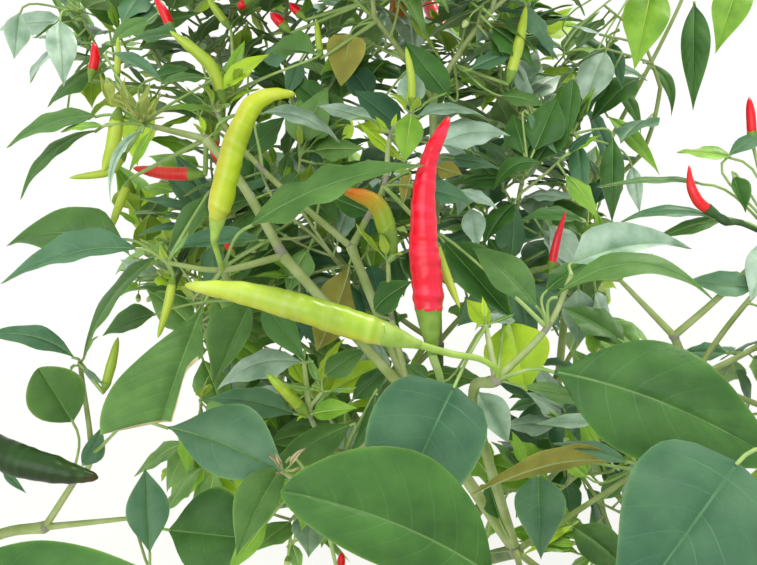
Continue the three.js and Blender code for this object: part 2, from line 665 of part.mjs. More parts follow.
// Twigs that fork in two again and again. The leaves and pods that will sit on each one wait in
// the mass's list, so that all twigs stand before the first leaf does. Every draw is made, even
// for twigs that found no room, so that one twig's fate doesn't change the others.
function growTwigs(mass, twig, forks, length, random) {
  const spin = random() * 2 * Math.PI;
  const leaves = forks ? LEAVES.perTwig : LEAVES.perTip;
  for (let i = 0; i < leaves; i++) {
    const size = THREE.MathUtils.lerp(LEAF.shortest, LEAF.longest, random());
    const droop = LEAF.droop * random();
    const roll = radians(60 * (random() - 0.5));
    const share = 1 - (LEAVES.spread * i) / leaves;
    mass.waiting.push([twig, share, (root, turn) => {
      const out = square(twig.heading, spin + i * GOLDEN_TURN + turn);
      out.addScaledVector(twig.heading, 0.5 - 0.1 * i).addScaledVector(UP, -droop).normalize();
      return leafItem(root, out, size, roll);
    }]);
  }
  const podLength = THREE.MathUtils.lerp(POD.shortest, POD.longest, random());
  const rise = 0.5 + random();
  if (random() < POD.share)
    mass.waiting.push([twig, 0.95, (root, turn) => {
      const lean = square(twig.heading, spin + 1 + turn).addScaledVector(UP, rise).normalize();
      return podItem(root, lean, podLength);
    }]);
  if (!forks) return;
  for (const way of [-1, 1]) {
    const angle = radians(SHOOT.forkTurn + SHOOT.forkSpread * (random() - 0.5));
    const next = twig && place(mass, (turn) => {
      const hinge = square(twig.heading, spin + turn);
      const heading = twig.heading.clone().applyAxisAngle(hinge, way * angle);
      heading.addScaledVector(UP, SHOOT.lift).normalize();
      const start = twig.end.clone().addScaledVector(twig.heading, 0.4 * way);
      return twigItem(start, heading, length, forks - 1);
    }, [twig.made, ...twig.forked]);
    if (next) {
      next.forked = [];
      twig.forked.push(next.made);
    }
    growTwigs(mass, next, forks - 1, length * SHOOT.shorter, random);
  }
}

function startMass([fork, middle, reach], random) {
  const heading = stemHeading([fork, middle]);
  const base = PLACES[fork].clone().addScaledVector(heading, prongAt(fork) + GAP);
  const stem = twigItem(base, heading, SHOOT.first, SHOOT.forks);
  if (!isClear(stem.whole)) throw new Error(`the mass at ${fork} has no clear way for its stem`);
  const mass = { middle, reach, parts: [], waiting: [] };
  mass.parts.push(stand(stem.made, mass));
  stem.forked = [];
  growTwigs(mass, stem, SHOOT.forks, SHOOT.first * SHOOT.shorter, random);
  return mass;
}

function fillMass(mass) {
  for (const [twig, share, makeItem] of mass.waiting) {
    if (!twig) continue;
    const root = twig.start.clone().lerp(twig.end, share);
    place(mass, (turn) => makeItem(root, turn), [twig.made]);
  }
  return mass.body;
}

// A mass that the picture shows: its twigs, then its leaves on their stalks and its pods.
function shownMass({ twigs, leaves, pods }) {
  const from = twigs[0][0];
  const toNext = PLACES[twigs[0][1]].clone().sub(PLACES[from]).normalize();
  const base = PLACES[from].clone().addScaledVector(toNext, prongAt(from) + GAP);
  const rooted = base.clone().addScaledVector(toNext, 1.5);
  const at = (name) => (name === from ? rooted : PLACES[name]);
  const pieces = twigs.map((route, i) => {
    const points = route.map(at);
    if (i === 0) points[0] = base;
    const radii = points.map((_, k) => twigRadius(SHOOT.forks * (1 - k / points.length)));
    return tube(points, radii, 3);
  });
  for (const [name, foot, tip, width, turn] of leaves) {
    const blunt = seen(...foot);
    const end = seen(...tip);
    const along = end.clone().sub(blunt).normalize();
    const towardsLens = squared(LENS.at.clone().sub(blunt), along);
    const upward = squared(UP, along);
    const way = Math.sign(upward.clone().cross(towardsLens).dot(along)) || 1;
    const face = upward.applyAxisAngle(along, way * radians(turn));
    pieces.push(leaf(at(name), blunt, end, face, width, SHOWN_ROWS));
  }
  for (const [name, calyx, middle, tip, radius] of pods)
    pieces.push(pod(at(name), seen(...calyx), seen(...middle), seen(...tip), radius, SMALL_POD));
  return pieces;
}

// A large pod, with its stalk cut clear of what it grows from.
function largePod([place, calyx, middle, tip, radius]) {
  const root = PLACES[place];
  const neck = seen(...calyx);
  const away = neck.clone().sub(root).normalize();
  for (let clear = 1; clear < neck.distanceTo(root); clear += 0.5) {
    const start = root.clone().addScaledVector(away, clear);
    const made = pod(start, neck, seen(...middle), seen(...tip), radius, LARGE_POD);
    const probe = pod(start, neck, seen(...middle), seen(...tip), radius + 0.3, LARGE_POD);
    if (isClear(probe)) return stand(made);
  }
  throw new Error(`a pod at ${place} has no clear way to its stalk`);
}

const plant = new THREE.Group();
function addNode(name, made, colour, roughness) {
  const material = new THREE.MeshStandardMaterial({ color: COLOURS[colour], roughness });
  const mesh = new THREE.Mesh(meshOf(made), material);
  mesh.name = name;
  plant.add(mesh);
}

for (const [name, parts] of Object.entries(LIMBS)) {
  const isBark = name === "main_stem";
  addNode(name, stand(limb(parts)), isBark ? "bark" : "stem", isBark ? 0.9 : 0.6);
}
for (const [name, mass] of Object.entries(SHOWN)) {
  const parts = shownMass(mass);
  parts.forEach(stand);
  addNode(name, fuse(parts), "leaf", 0.5);
}
for (const [name, parts] of Object.entries(PODS)) addNode(name, largePod(parts), parts.at(-1), 0.25);
const random = seeded(SEED);
const masses = Object.entries(GROWN).map(([name, parts]) => [name, startMass(parts, random)]);
for (const [name, mass] of masses) addNode(name, fillMass(mass), "leaf", 0.5);

export default plant;
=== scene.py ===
# A chilli pepper plant in fruit: a woody stem that forks again and again into ribbed green limbs,
# leaves on thin stalks, and slender glossy pods. Lengths are in mm, +Z up, with the origin in the
# middle of the cut foot of the stem, and turn into metres where a mesh is made of them.
import math

import bpy
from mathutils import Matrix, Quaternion, Vector, noise
from mathutils.bvhtree import BVHTree


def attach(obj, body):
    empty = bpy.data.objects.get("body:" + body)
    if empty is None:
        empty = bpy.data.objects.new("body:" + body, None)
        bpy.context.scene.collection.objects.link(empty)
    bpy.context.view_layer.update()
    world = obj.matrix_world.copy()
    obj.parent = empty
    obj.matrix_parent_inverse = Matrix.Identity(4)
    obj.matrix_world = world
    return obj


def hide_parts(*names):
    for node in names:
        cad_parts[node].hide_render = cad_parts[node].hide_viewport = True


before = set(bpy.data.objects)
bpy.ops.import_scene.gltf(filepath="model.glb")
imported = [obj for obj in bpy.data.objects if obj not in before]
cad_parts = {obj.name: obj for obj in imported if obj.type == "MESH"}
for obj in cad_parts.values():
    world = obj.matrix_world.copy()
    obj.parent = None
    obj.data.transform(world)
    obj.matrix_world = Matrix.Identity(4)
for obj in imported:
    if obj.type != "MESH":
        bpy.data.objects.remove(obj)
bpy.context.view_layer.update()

METRES = 0.001
UP = Vector((0, 0, 1))

# The lens: where it is, how far it looks down, and its focal length and middle in pixels.
LENS_AT = Vector((-35, -320, 620))
LENS_PITCH = math.radians(27)
LENS_FOCAL = 736
PICTURE = (757, 565)
SENSOR = 36


def point(x, y, z):
    return Vector((x, y, z))


def seen(px, py, far):
    """The point that shows at a pixel, `far` mm in front of the lens."""
    right = (px - PICTURE[0] / 2) / LENS_FOCAL
    up = (PICTURE[1] / 2 - py) / LENS_FOCAL
    ahead = math.cos(LENS_PITCH) + up * math.sin(LENS_PITCH)
    above = up * math.cos(LENS_PITCH) - math.sin(LENS_PITCH)
    return LENS_AT + far * Vector((right, ahead, above))


def shown_at(p):
    """Where a point shows: pixel x, pixel y and mm in front of the lens."""
    away = p - LENS_AT
    far = away.y * math.cos(LENS_PITCH) - away.z * math.sin(LENS_PITCH)
    up = away.y * math.sin(LENS_PITCH) + away.z * math.cos(LENS_PITCH)
    px = PICTURE[0] / 2 + LENS_FOCAL * away.x / far
    py = PICTURE[1] / 2 - LENS_FOCAL * up / far
    return px, py, far


# Sizes in mm and turns in degrees, as the solids have them.
STEM_FOOT = 7.6
STEM_TOP = 5.2
STEM_FLARE = 1.7
STEM_FLARE_HEIGHT = 34
GAP = 0.3
SHORTEST_PRONG = 3
TWIG_TIP = 0.8
TWIG_PER_FORK = 0.3
SHOOT_FIRST = 46
SHOOT_SHORTER = 0.86
SHOOT_FORKS = 2
FORK_TURN = 31
FORK_SPREAD = 12
LIFT = 0.16
LEAF_SIZES = (60, 84)
LEAF_WIDE = 0.45
LEAF_DROOP = 0.7
LEAF_ROLL = 60
LEAVES_PER_TWIG = 2
LEAVES_PER_TIP = 4
LEAF_SPREAD = 0.8
LEAF_AHEAD = 0.5
LEAF_AHEAD_LESS = 0.1
LEAF_MIDDLE = 0.46
LEAF_RISE = 0.05
LEAF_DROP = 0.06
POD_SIZES = (44, 68)
POD_RADIUS = 5.2
POD_STALK = 24
POD_SHARE = 0.2
POD_AT = 0.95
FORK_APART = 0.4
GOLDEN_TURN = math.radians(137.5)
SEED = 20107

# Forks, bends and nodes: those that the picture shows by pixel and distance.
PLACES = {
  "foot": point(0, 0, 0),
  "stem_bend": point(5, 3, 110),
  "first_fork": point(-2, 5, 205),
  "crown_fork": point(4, 1, 260),
  "left_bend": point(-95, -42, 268),
  "left_fork": seen(-48, 556, 322),
  "low_left_bend": seen(4, 533, 317),
  "low_left_node": seen(45, 527, 312),
  "low_fork": seen(516, 551, 335),
  "middle_fork": seen(412, 398, 300),
  "diagonal_node": seen(283, 256, 288),
  "diagonal_bend": seen(243, 186, 287),
  "upper_left_node": seen(206, 139, 284),
  "upright_bend": seen(366, 284, 309),
  "upright_node": seen(351, 247, 312),
  "right_bend": seen(474, 404, 282),
  "right_node": seen(496, 380, 260),
  "back_left_fork": point(-72, 70, 368),
  "back_left_node": point(-98, 96, 468),
  "back_right_fork": point(76, 58, 362),
  "back_right_node": point(84, 98, 458),
  "right_fork": point(128, -2, 402),
  "right_edge_node": seen(674, 336, 300),
  "centre_fork": point(-2, 28, 405),
  "top_node": point(-8, 48, 535),
  "apex": seen(143, 124, 272),
  "left_twig": seen(222, 270, 276),
  "left_twig_end": seen(168, 263, 268),
  "left_hidden_twig": seen(240, 300, 295),
  "inner_bend": seen(345, 452, 299),
  "inner_node": seen(310, 416, 292),
  "inner_tip": seen(322, 392, 290),
  "inner_rise": seen(392, 320, 300),
  "inner_rise_tip": seen(388, 262, 294),
  "upper_left_shoot": seen(217, 112, 300),
  "upper_left_bend": seen(262, 169, 309),
  "upper_left_tip": seen(236, 92, 302),
  "centre_bend": seen(366, 220, 311),
  "centre_twig": seen(384, 186, 305),
  "centre_shoot": seen(391, 134, 301),
  "centre_shoot_tip": seen(411, 114, 298),
  "right_twig": seen(547, 328, 263),
  "right_twig_tip": seen(571, 276, 262),
  "right_side_shoot": seen(486, 326, 272),
  "low_near_twig": seen(528, 602, 240),
  "low_right_twig": seen(640, 470, 290),
  "withered_bend": seen(320, 494, 268),
  "withered_flower": seen(284, 472, 252),
  "inner_bud": seen(304, 362, 289),
  "low_left_shoot": seen(74, 482, 304),
  "low_left_shoot_tip": seen(91, 455, 300),
  "low_left_upper": seen(80, 363, 294),
  "low_left_arm": seen(132, 518, 306),
  "left_near_twig": seen(-62, 588, 228),
  "right_edge_left": seen(620, 280, 305),
  "right_edge_right": seen(720, 296, 292),
  "right_edge_top": seen(778, 240, 288),
  "right_outer_bend": seen(822, 432, 306),
  "right_near_twig": seen(806, 452, 218),
  "top_right_twig": seen(690, -22, 440),
  "top_right_end": seen(640, -26, 446),
}

# The stem, boughs and branches: the places each one runs through, and its radius at each end.
LIMBS = {
  "main_stem": [["foot", "stem_bend", "first_fork"], STEM_FOOT, STEM_TOP],
  "upper_stem": [["first_fork", "crown_fork"], 4.5, 4.1],
  "bough_left": [["first_fork", "left_bend", "left_fork"], 3.6, 2.5],
  "bough_front": [["crown_fork", "low_fork"], 3.8, 3.1],
  "bough_centre": [["crown_fork", "centre_fork"], 3.4, 2.7],
  "bough_back_left": [["crown_fork", "back_left_fork"], 3.4, 2.7],
  "bough_back_right": [["crown_fork", "back_right_fork"], 3.4, 2.7],
  "branch_low_left": [["left_fork", "low_left_node"], 2.3, 2.2],
  "branch_middle": [["low_fork", "middle_fork"], 2.7, 2.5],
  "branch_right": [["low_fork", "right_bend", "right_node"], 2.2, 1.9],
  "branch_diagonal": [["middle_fork", "diagonal_node"], 2.2, 2.0],
  "branch_upper_left": [["diagonal_node", "diagonal_bend", "upper_left_node"], 1.9, 1.7],
  "branch_upright": [["middle_fork", "upright_bend", "upright_node"], 2.1, 1.9],
  "branch_back_left": [["back_left_fork", "back_left_node"], 2.4, 2.1],
  "branch_back_right": [["back_right_fork", "back_right_node"], 2.4, 2.1],
  "branch_right_side": [["back_right_fork", "right_fork"], 2.3, 2.1],
  "branch_right_front": [["right_fork", "right_edge_node"], 1.9, 1.7],
  "branch_top": [["centre_fork", "top_node"], 2.4, 2.0],
}

# The masses that the picture shows. Twigs run through places. A leaf is the place it grows
# from, the foot and the tip of its blade as [pixel x, pixel y, mm away], how many pixels of it
# show left and right of its midrib and how far left the midrib bows, seen from foot to tip, how
# many degrees its upper face turns towards the lens, its kind, and what else its shape has:
# "peak" and "full" as in half_width, "cut" as the shares of its length at which its torn end
# crosses the midrib and the edges, and "bites" as [share, side, depth, width].
# A pod is the place it grows from, its calyx, middle and tip in pixels, and its radius in mm.
SHOWN = {
  "foliage_left": {
    "twigs": [["diagonal_node", "left_twig", "left_twig_end"], ["left_twig", "left_hidden_twig"]],
    "leaves": [
      ["left_twig", [250, 226, 264], [425, 165, 256], [19, 17, 13], 4, "mid", {"peak": 0.34}],
      ["left_twig_end", [138, 249, 262], [0, 284, 256], [8, 22, -12], 20, "blue", {"peak": 0.36}],
      ["left_twig_end", [122, 239, 272], [6, 246, 276], [20, 27, -10], 24, "mid", {"peak": 0.34}],
      ["left_twig", [206, 300, 266], [141, 494, 228], [43, 60, -4], 30, "mid",
       {"peak": 0.67, "full": 0.55, "cut": [0.7, 0.68, 0.815], "bites": [[0.62, -1, 0.76, 0.26]]}],
      ["left_hidden_twig", [252, 300, 290], [212, 384, 276], [13, 30, 0], 40, "mid"],
      ["left_hidden_twig", [262, 300, 290], [306, 362, 282], [15, 16, 0], 40, "deep"],
      ["left_twig_end", [157, 257, 268], [82, 363, 280], [7, 8, -13], 6, "mid"],
      ["left_twig_end", [160, 262, 276], [126, 276, 282], [5, 6, -3], 6, "fresh"],
      ["left_hidden_twig", [156, 314, 298], [102, 336, 300], [9, 15, -3], 24, "mid"],
      ["left_twig_end", [206, 196, 292], [166, 254, 286], [12, 12, 0], 40, "mid"],
      ["left_twig", [262, 240, 290], [166, 252, 284], [6, 13, -6], 20, "blue"],
    ],
    "pods": [["left_twig_end", [172, 283, 270], [168, 305, 268], [158, 338, 264], 1.9]],
  },
  "foliage_apex": {
    "twigs": [["upper_left_node", "apex"]],
    "leaves": [
      ["apex", [98, 116, 270], [6, 148, 262], [9, 11, -9], 16, "mid"],
      ["apex", [97, 130, 276], [20, 200, 266], [7, 7, -14], 8, "mid"],
      ["apex", [143, 130, 266], [111, 206, 250], [4, 5, -14], 20, "wet"],
      ["apex", [206, 78, 290], [160, 84, 280], [5, 6, -3], 10, "mid"],
      ["apex", [112, 53, 290], [163, 82, 280], [8, 5, 4], 12, "blue"],
      ["apex", [154, 78, 298], [188, 68, 300], [9, 9, 0], 30, "deep"],
      ["apex", [104, 126, 264], [60, 132, 262], [4, 4, -3], 10, "fresh"],
      ["apex", [152, 130, 268], [128, 173, 262], [5, 5, 0], 10, "fresh"],
      ["apex", [134, 108, 266], [100, 72, 262], [7, 3, 8], 20, "olive"],
      ["apex", [106, 80, 263], [110, 104, 260], [5, 6, 3], 30, "olive"],
      ["apex", [128, 108, 268], [126, 76, 268], [3, 3, 4], 30, "olive"],
      ["apex", [136, 106, 270], [150, 80, 272], [3, 3, -3], 30, "olive"],
    ],
    "pods": [
      ["apex", [117, 119, 268], [112, 148, 266], [103, 172, 262], 2.9],
      ["apex", [122, 158, 274], [108, 172, 272], [69, 178, 268], 1.8],
      ["upper_left_node", [127, 186, 290], [118, 208, 288], [110, 232, 284], 1.9],
      ["apex", [117, 76, 300], [118, 56, 300], [118, 37, 300], 1.5],
    ],
  },
  "foliage_upper_left": {
    "twigs": [["upright_node", "upper_left_bend", "upper_left_shoot", "upper_left_tip"]],
    "leaves": [
      ["upper_left_tip", [221, 91, 294], [270, 54, 300], [12, 6, 2], 26, "lime"],
      ["upper_left_bend", [262, 113, 312], [341, 144, 322], [9, 8, 11], 10, "wet"],
      ["upper_left_shoot", [178, 36, 300], [130, 41, 306], [5, 9, -3], 12, "deep"],
      ["upper_left_shoot", [214, 111, 302], [159, 110, 300], [3, 4, -3], 0, "fresh"],
      ["upper_left_tip", [316, 54, 306], [266, 57, 316], [5, 18, -6], 24, "mid"],
      ["upper_left_shoot", [205, 104, 306], [172, 92, 308], [6, 6, 0], 26, "mid"],
      ["upper_left_tip", [226, 82, 300], [245, 40, 306], [7, 7, 0], 30, "fresh"],
    ],
    "pods": [["upper_left_shoot", [221, 92, 296], [209, 64, 292], [170, 31, 288], 2.9]],
  },
  "foliage_centre": {
    "twigs": [["upright_node", "centre_bend", "centre_twig", "centre_shoot", "centre_shoot_tip"]],
    "leaves": [
      ["centre_shoot_tip", [417, 117, 300], [491, 121, 312], [6, 5, 10], 8, "wet"],
      ["centre_shoot_tip", [411, 115, 296], [404, 163, 284], [15, 14, 0], 48, "fresh",
       {"full": 0.8}],
      ["centre_shoot_tip", [411, 108, 302], [410, 70, 310], [14, 15, 0], 58, "wet", {"full": 0.8}],
      ["centre_shoot", [438, 144, 300], [511, 136, 312], [15, 14, 8], 24, "wet", {"peak": 0.34}],
      ["centre_shoot", [373, 120, 310], [315, 106, 322], [8, 8, -2], 12, "wet"],
      ["centre_bend", [350, 262, 326], [316, 352, 310], [22, 21, 3], -112, "tan", {"peak": 0.5}],
      ["centre_shoot", [404, 162, 306], [357, 121, 312], [7, 5, 0], 14, "lime"],
      ["centre_shoot", [389, 133, 316], [353, 126, 322], [5, 10, 0], 24, "lime"],
      ["centre_twig", [411, 174, 306], [402, 205, 302], [6, 9, 0], -112, "tan"],
      ["centre_twig", [424, 188, 300], [472, 204, 302], [12, 10, 2], 24, "blue"],
      ["centre_twig", [460, 190, 310], [498, 209, 308], [6, 6, 2], 12, "wet"],
      ["centre_twig", [436, 166, 316], [463, 175, 318], [9, 10, 0], -64, "tan"],
      ["centre_twig", [452, 158, 316], [500, 169, 318], [6, 8, 2], 16, "blue"],
      ["centre_twig", [470, 208, 312], [478, 248, 306], [13, 12, 0], 30, "wet"],
      ["centre_bend", [372, 214, 330], [330, 196, 334], [12, 10, 0], 20, "deep"],
    ],
    "pods": [
      ["centre_shoot_tip", [412, 100, 298], [411, 76, 297], [406, 47, 298], 1.9],
      ["centre_twig", [436, 246, 276], [445, 272, 273], [460, 308, 268], 2.1],
    ],
  },
  "foliage_inner": {
    "twigs": [
      ["middle_fork", "inner_bend", "inner_node", "inner_tip"],
      ["inner_bend", "withered_bend", "withered_flower"],
      ["inner_node", "inner_bud"],
    ],
    "leaves": [
      ["inner_node", [296, 414, 290], [204, 400, 293], [14, 15, -6], 20, "blue"],
      ["inner_node", [312, 414, 288], [358, 408, 283], [12, 9, 1], 24, "fresh"],
      ["inner_tip", [324, 376, 292], [368, 349, 300], [12, 14, 2], 26, "mid"],
      ["inner_tip", [302, 362, 302], [216, 391, 304], [17, 12, -13], 14, "wet"],
      ["inner_bend", [352, 424, 289], [262, 478, 278], [20, 14, -4], 30, "mid"],
      ["withered_bend", [287, 460, 262], [236, 557, 244], [17, 27, -4], 44, "mid", {"peak": 0.45}],
      ["inner_bend", [376, 392, 300], [346, 458, 296], [8, 7, 6], 20, "deep"],
      ["inner_bend", [352, 400, 308], [392, 364, 308], [12, 12, 0], 30, "deep"],
      ["inner_bend", [268, 520, 284], [226, 574, 276], [10, 11, 0], 40, "fresh"],
      ["inner_bend", [300, 470, 300], [268, 500, 296], [12, 12, 0], 40, "fresh"],
    ],
  },
  "foliage_rise": {
    "twigs": [["middle_fork", "inner_rise", "inner_rise_tip"]],
    "leaves": [["inner_rise", [374, 311, 297], [413, 281, 290], [15, 15, 3], 30, "deep"]],
  },
  "foliage_right": {
    "twigs": [["right_node", "right_twig", "right_twig_tip"], ["right_node", "right_side_shoot"]],
    "leaves": [
      ["right_node", [551, 371, 254], [796, 474, 232], [60, 62, 14], 50, "deep", {"peak": 0.42}],
      ["right_node", [523, 387, 262], [606, 410, 266], [8, 9, 4], 6, "mid"],
      ["right_twig_tip", [572, 263, 270], [692, 249, 284], [27, 8, 11], 30, "wet",
       {"peak": 0.2, "full": 0.8}],
      ["right_twig", [554, 297, 258], [717, 303, 250], [14, 12, 36], 12, "mid"],
      ["right_twig", [538, 308, 270], [470, 246, 288], [18, 19, -5], 26, "mid"],
      ["right_twig", [443, 241, 296], [514, 320, 286], [28, 18, 0], 34, "deep"],
      ["right_side_shoot", [455, 385, 252], [382, 548, 226], [54, 65, -2], 56, "dusk",
       {"peak": 0.32, "full": 0.52}],
      ["right_side_shoot", [490, 326, 276], [466, 299, 282], [10, 11, 0], 34, "lime"],
      ["right_node", [510, 322, 290], [527, 392, 276], [33, 34, 0], 50, "lime", {"full": 0.8}],
      ["right_side_shoot", [488, 322, 280], [516, 321, 286], [10, 5, 2], 10, "wet"],
      ["right_node", [478, 392, 276], [508, 443, 272], [17, 13, 2], 30, "wet", {"full": 0.8}],
      ["right_twig", [545, 292, 272], [592, 260, 280], [12, 10, 2], 20, "deep"],
      ["right_side_shoot", [430, 380, 296], [404, 364, 300], [9, 9, 0], 30, "mid"],
    ],
  },
  "foliage_low": {
    "twigs": [["low_fork", "low_near_twig"], ["low_fork", "low_right_twig"]],
    "leaves": [
      ["low_near_twig", [493, 577, 222], [281, 490, 206], [44, 77, -12], 56, "deep",
       {"peak": 0.5, "full": 0.46}],
      ["low_right_twig", [627, 462, 286], [470, 495, 262], [9, 15, -14], -74, "tan"],
      ["low_fork", [572, 526, 322], [640, 584, 306], [20, 20, 4], 40, "mid"],
      ["low_right_twig", [538, 475, 300], [541, 560, 284], [27, 25, 0], 52, "blue",
       {"peak": 0.36}],
      ["low_right_twig", [600, 421, 300], [536, 424, 306], [6, 9, 0], 14, "wet"],
      ["low_right_twig", [628, 462, 284], [552, 443, 280], [7, 9, -3], 6, "blue"],
      ["low_fork", [575, 524, 318], [519, 557, 312], [4, 4, 0], 10, "lime"],
      ["low_right_twig", [600, 500, 310], [628, 470, 312], [10, 10, 0], 30, "mid"],
      ["low_right_twig", [588, 478, 312], [560, 452, 316], [9, 9, 0], 30, "fresh"],
      ["low_fork", [500, 520, 322], [486, 478, 322], [12, 12, 0], 36, "deep"],
      ["low_fork", [470, 545, 322], [440, 500, 322], [14, 14, 0], 36, "deep"],
    ],
  },
  "foliage_low_left": {
    "twigs": [
      ["low_left_node", "low_left_shoot", "low_left_shoot_tip", "low_left_upper"],
      ["low_left_node", "low_left_arm"],
    ],
    "leaves": [
      ["low_left_shoot_tip", [165, 427, 266], [290, 480, 258], [46, 32, 7], 40, "blue",
       {"peak": 0.5}],
      ["low_left_shoot", [73, 422, 288], [38, 368, 282], [30, 32, 0], 52, "mid",
       {"peak": 0.5, "full": 0.5}],
      ["low_left_upper", [75, 358, 286], [-25, 338, 280], [11, 12, -13], 16, "blue"],
      ["low_left_upper", [82, 367, 288], [104, 385, 292], [3, 4, 0], 10, "wet"],
      ["low_left_arm", [150, 556, 270], [145, 468, 280], [22, 23, 0], 52, "blue", {"peak": 0.5}],
      ["low_left_shoot_tip", [82, 466, 296], [103, 425, 300], [7, 15, 0], 40, "blue"],
      ["low_left_arm", [168, 530, 290], [262, 540, 290], [50, 44, 0], 50, "deep",
       {"peak": 0.46, "full": 0.8}],
      ["low_left_shoot", [2, 470, 292], [27, 494, 290], [4, 5, 0], 20, "blue"],
    ],
    "pods": [["low_left_upper", [106, 384, 290], [112, 362, 290], [118, 337, 291], 2.2]],
  },
  "foliage_near_left": {
    "twigs": [["left_fork", "left_near_twig"]],
    "leaves": [
      ["left_near_twig", [-60, 586, 206], [214, 600, 196], [48, 34, 4], 40, "deep", {"full": 0.8}],
      ["left_near_twig", [-88, 600, 240], [-200, 560, 262], [30, 30, 0], 20, "mid"],
    ],
  },
  "foliage_right_edge": {
    "twigs": [
      ["right_edge_node", "right_edge_left"],
      ["right_edge_node", "right_edge_right", "right_edge_top"],
    ],
    "leaves": [
      ["right_edge_top", [704, 184, 298], [596, 187, 294], [3, 4, -5], 0, "mid"],
      ["right_edge_top", [712, 217, 286], [618, 223, 292], [5, 7, -8], 8, "blue"],
      ["right_edge_right", [758, 287, 280], [685, 281, 290], [12, 14, 0], 26, "blue"],
      ["right_edge_top", [732, 158, 290], [676, 152, 298], [6, 8, -2], 10, "fresh",
       {"bites": [[0.7, 1, 0.6, 0.12]]}],
      ["right_edge_top", [812, 236, 282], [900, 262, 270], [30, 30, 0], 20, "mid"],
      ["right_edge_top", [722, 221, 284], [652, 240, 292], [8, 7, -3], 14, "mid"],
      ["right_edge_top", [728, 156, 290], [776, 128, 288], [8, 8, 2], 14, "blue"],
      ["right_edge_top", [733, 176, 288], [746, 213, 284], [14, 5, 0], 20, "deep"],
      ["right_edge_top", [772, 238, 284], [750, 302, 276], [18, 18, 0], 30, "wet"],
    ],
    "pods": [["right_edge_top", [752, 134, 290], [751, 116, 290], [749, 97, 291], 2.1]],
  },
  "foliage_right_near": {
    "twigs": [["right_fork", "right_outer_bend", "right_near_twig"]],
    "leaves": [
      ["right_near_twig", [738, 462, 206], [608, 642, 184], [84, 88, 0], 54, "dusk",
       {"peak": 0.28, "full": 0.8}],
    ],
  },
  "foliage_top_right": {
    "twigs": [["back_right_node", "top_right_twig", "top_right_end"]],
    "leaves": [
      ["top_right_end", [643, 62, 446], [671, 117, 440], [7, 6, 12], 20, "mid"],
      ["top_right_end", [614, 84, 436], [641, 134, 430], [7, 7, 5], 26, "mid"],
      ["top_right_end", [569, 38, 430], [617, 70, 426], [9, 7, 5], 26, "deep"],
      ["top_right_end", [578, 66, 410], [648, 81, 408], [7, 7, 6], 14, "blue"],
      ["top_right_end", [607, 116, 400], [660, 175, 396], [9, 8, 4], 30, "fresh"],
    ],
  },
}

# Leaves and pods that show farther back, which grow from the twig nearest to them. A leaf has
# the same values as above but for its place. A pod has its calyx, middle and tip, its radius
# and its colour.
FAR_LEAVES = [
  [[652, -14, 346], [634, 71, 336], [24, 23, 0], 60, "fresh"],
  [[694, 2, 388], [693, 112, 376], [17, 13, 0], 46, "deep"],
  [[741, -26, 388], [715, 55, 376], [20, 19, 0], 50, "fresh"],
  [[606, 40, 384], [622, 92, 376], [9, 8, 4], 40, "blue"],
  [[573, 78, 352], [566, 148, 340], [10, 12, 0], 40, "deep"],
  [[578, 143, 352], [585, 204, 342], [9, 12, 0], 40, "blue"],
  [[613, 136, 372], [612, 224, 362], [12, 13, 0], 44, "deep"],
  [[632, 166, 376], [640, 214, 370], [8, 9, 0], 36, "wet"],
  [[527, 112, 340], [558, 155, 336], [6, 7, 0], 30, "blue"],
  [[543, 163, 334], [493, 191, 332], [9, 9, -12], 16, "deep"],
  [[584, 222, 334], [520, 220, 332], [5, 10, -5], 12, "deep"],
  [[450, 98, 338], [404, 40, 336], [16, 16, 0], 40, "deep"],
  [[350, 34, 340], [341, 86, 336], [18, 21, 0], -168, "tan", {"peak": 0.3, "full": 0.7}],
  [[248, 152, 332], [286, 116, 328], [13, 13, 0], 40, "deep"],
  [[318, 92, 354], [352, 126, 350], [12, 12, 0], 40, "mid"],
  [[300, 60, 354], [286, 98, 350], [10, 10, 0], 40, "blue"],
  [[330, 118, 354], [294, 152, 348], [14, 14, 0], 36, "deep"],
  [[372, 98, 356], [344, 58, 350], [15, 15, 0], 40, "dusk"],
  [[296, 82, 354], [334, 114, 348], [14, 13, 0], 40, "deep"],
  [[402, 128, 350], [354, 90, 344], [20, 18, 0], 44, "dusk"],
  [[470, 150, 356], [502, 188, 350], [12, 12, 0], 36, "deep"],
  [[452, 210, 356], [486, 182, 350], [11, 12, 0], 36, "mid"],
  [[488, 238, 356], [512, 272, 350], [11, 11, 0], 36, "deep"],
  [[262, 60, 356], [300, 44, 350], [10, 12, 0], 30, "blue"],
  [[470, 70, 344], [520, 52, 344], [8, 9, 3], 20, "blue"],
  [[500, 96, 344], [548, 108, 342], [8, 8, 3], 20, "mid"],
  [[300, 172, 336], [272, 206, 334], [10, 10, 0], 36, "mid"],
  [[150, 20, 350], [110, 44, 346], [9, 10, -3], 20, "mid"],
  [[60, 20, 356], [64, 88, 346], [16, 16, 0], 44, "wet"],
  [[20, 12, 362], [14, 60, 356], [14, 14, 0], 44, "wet"],
]
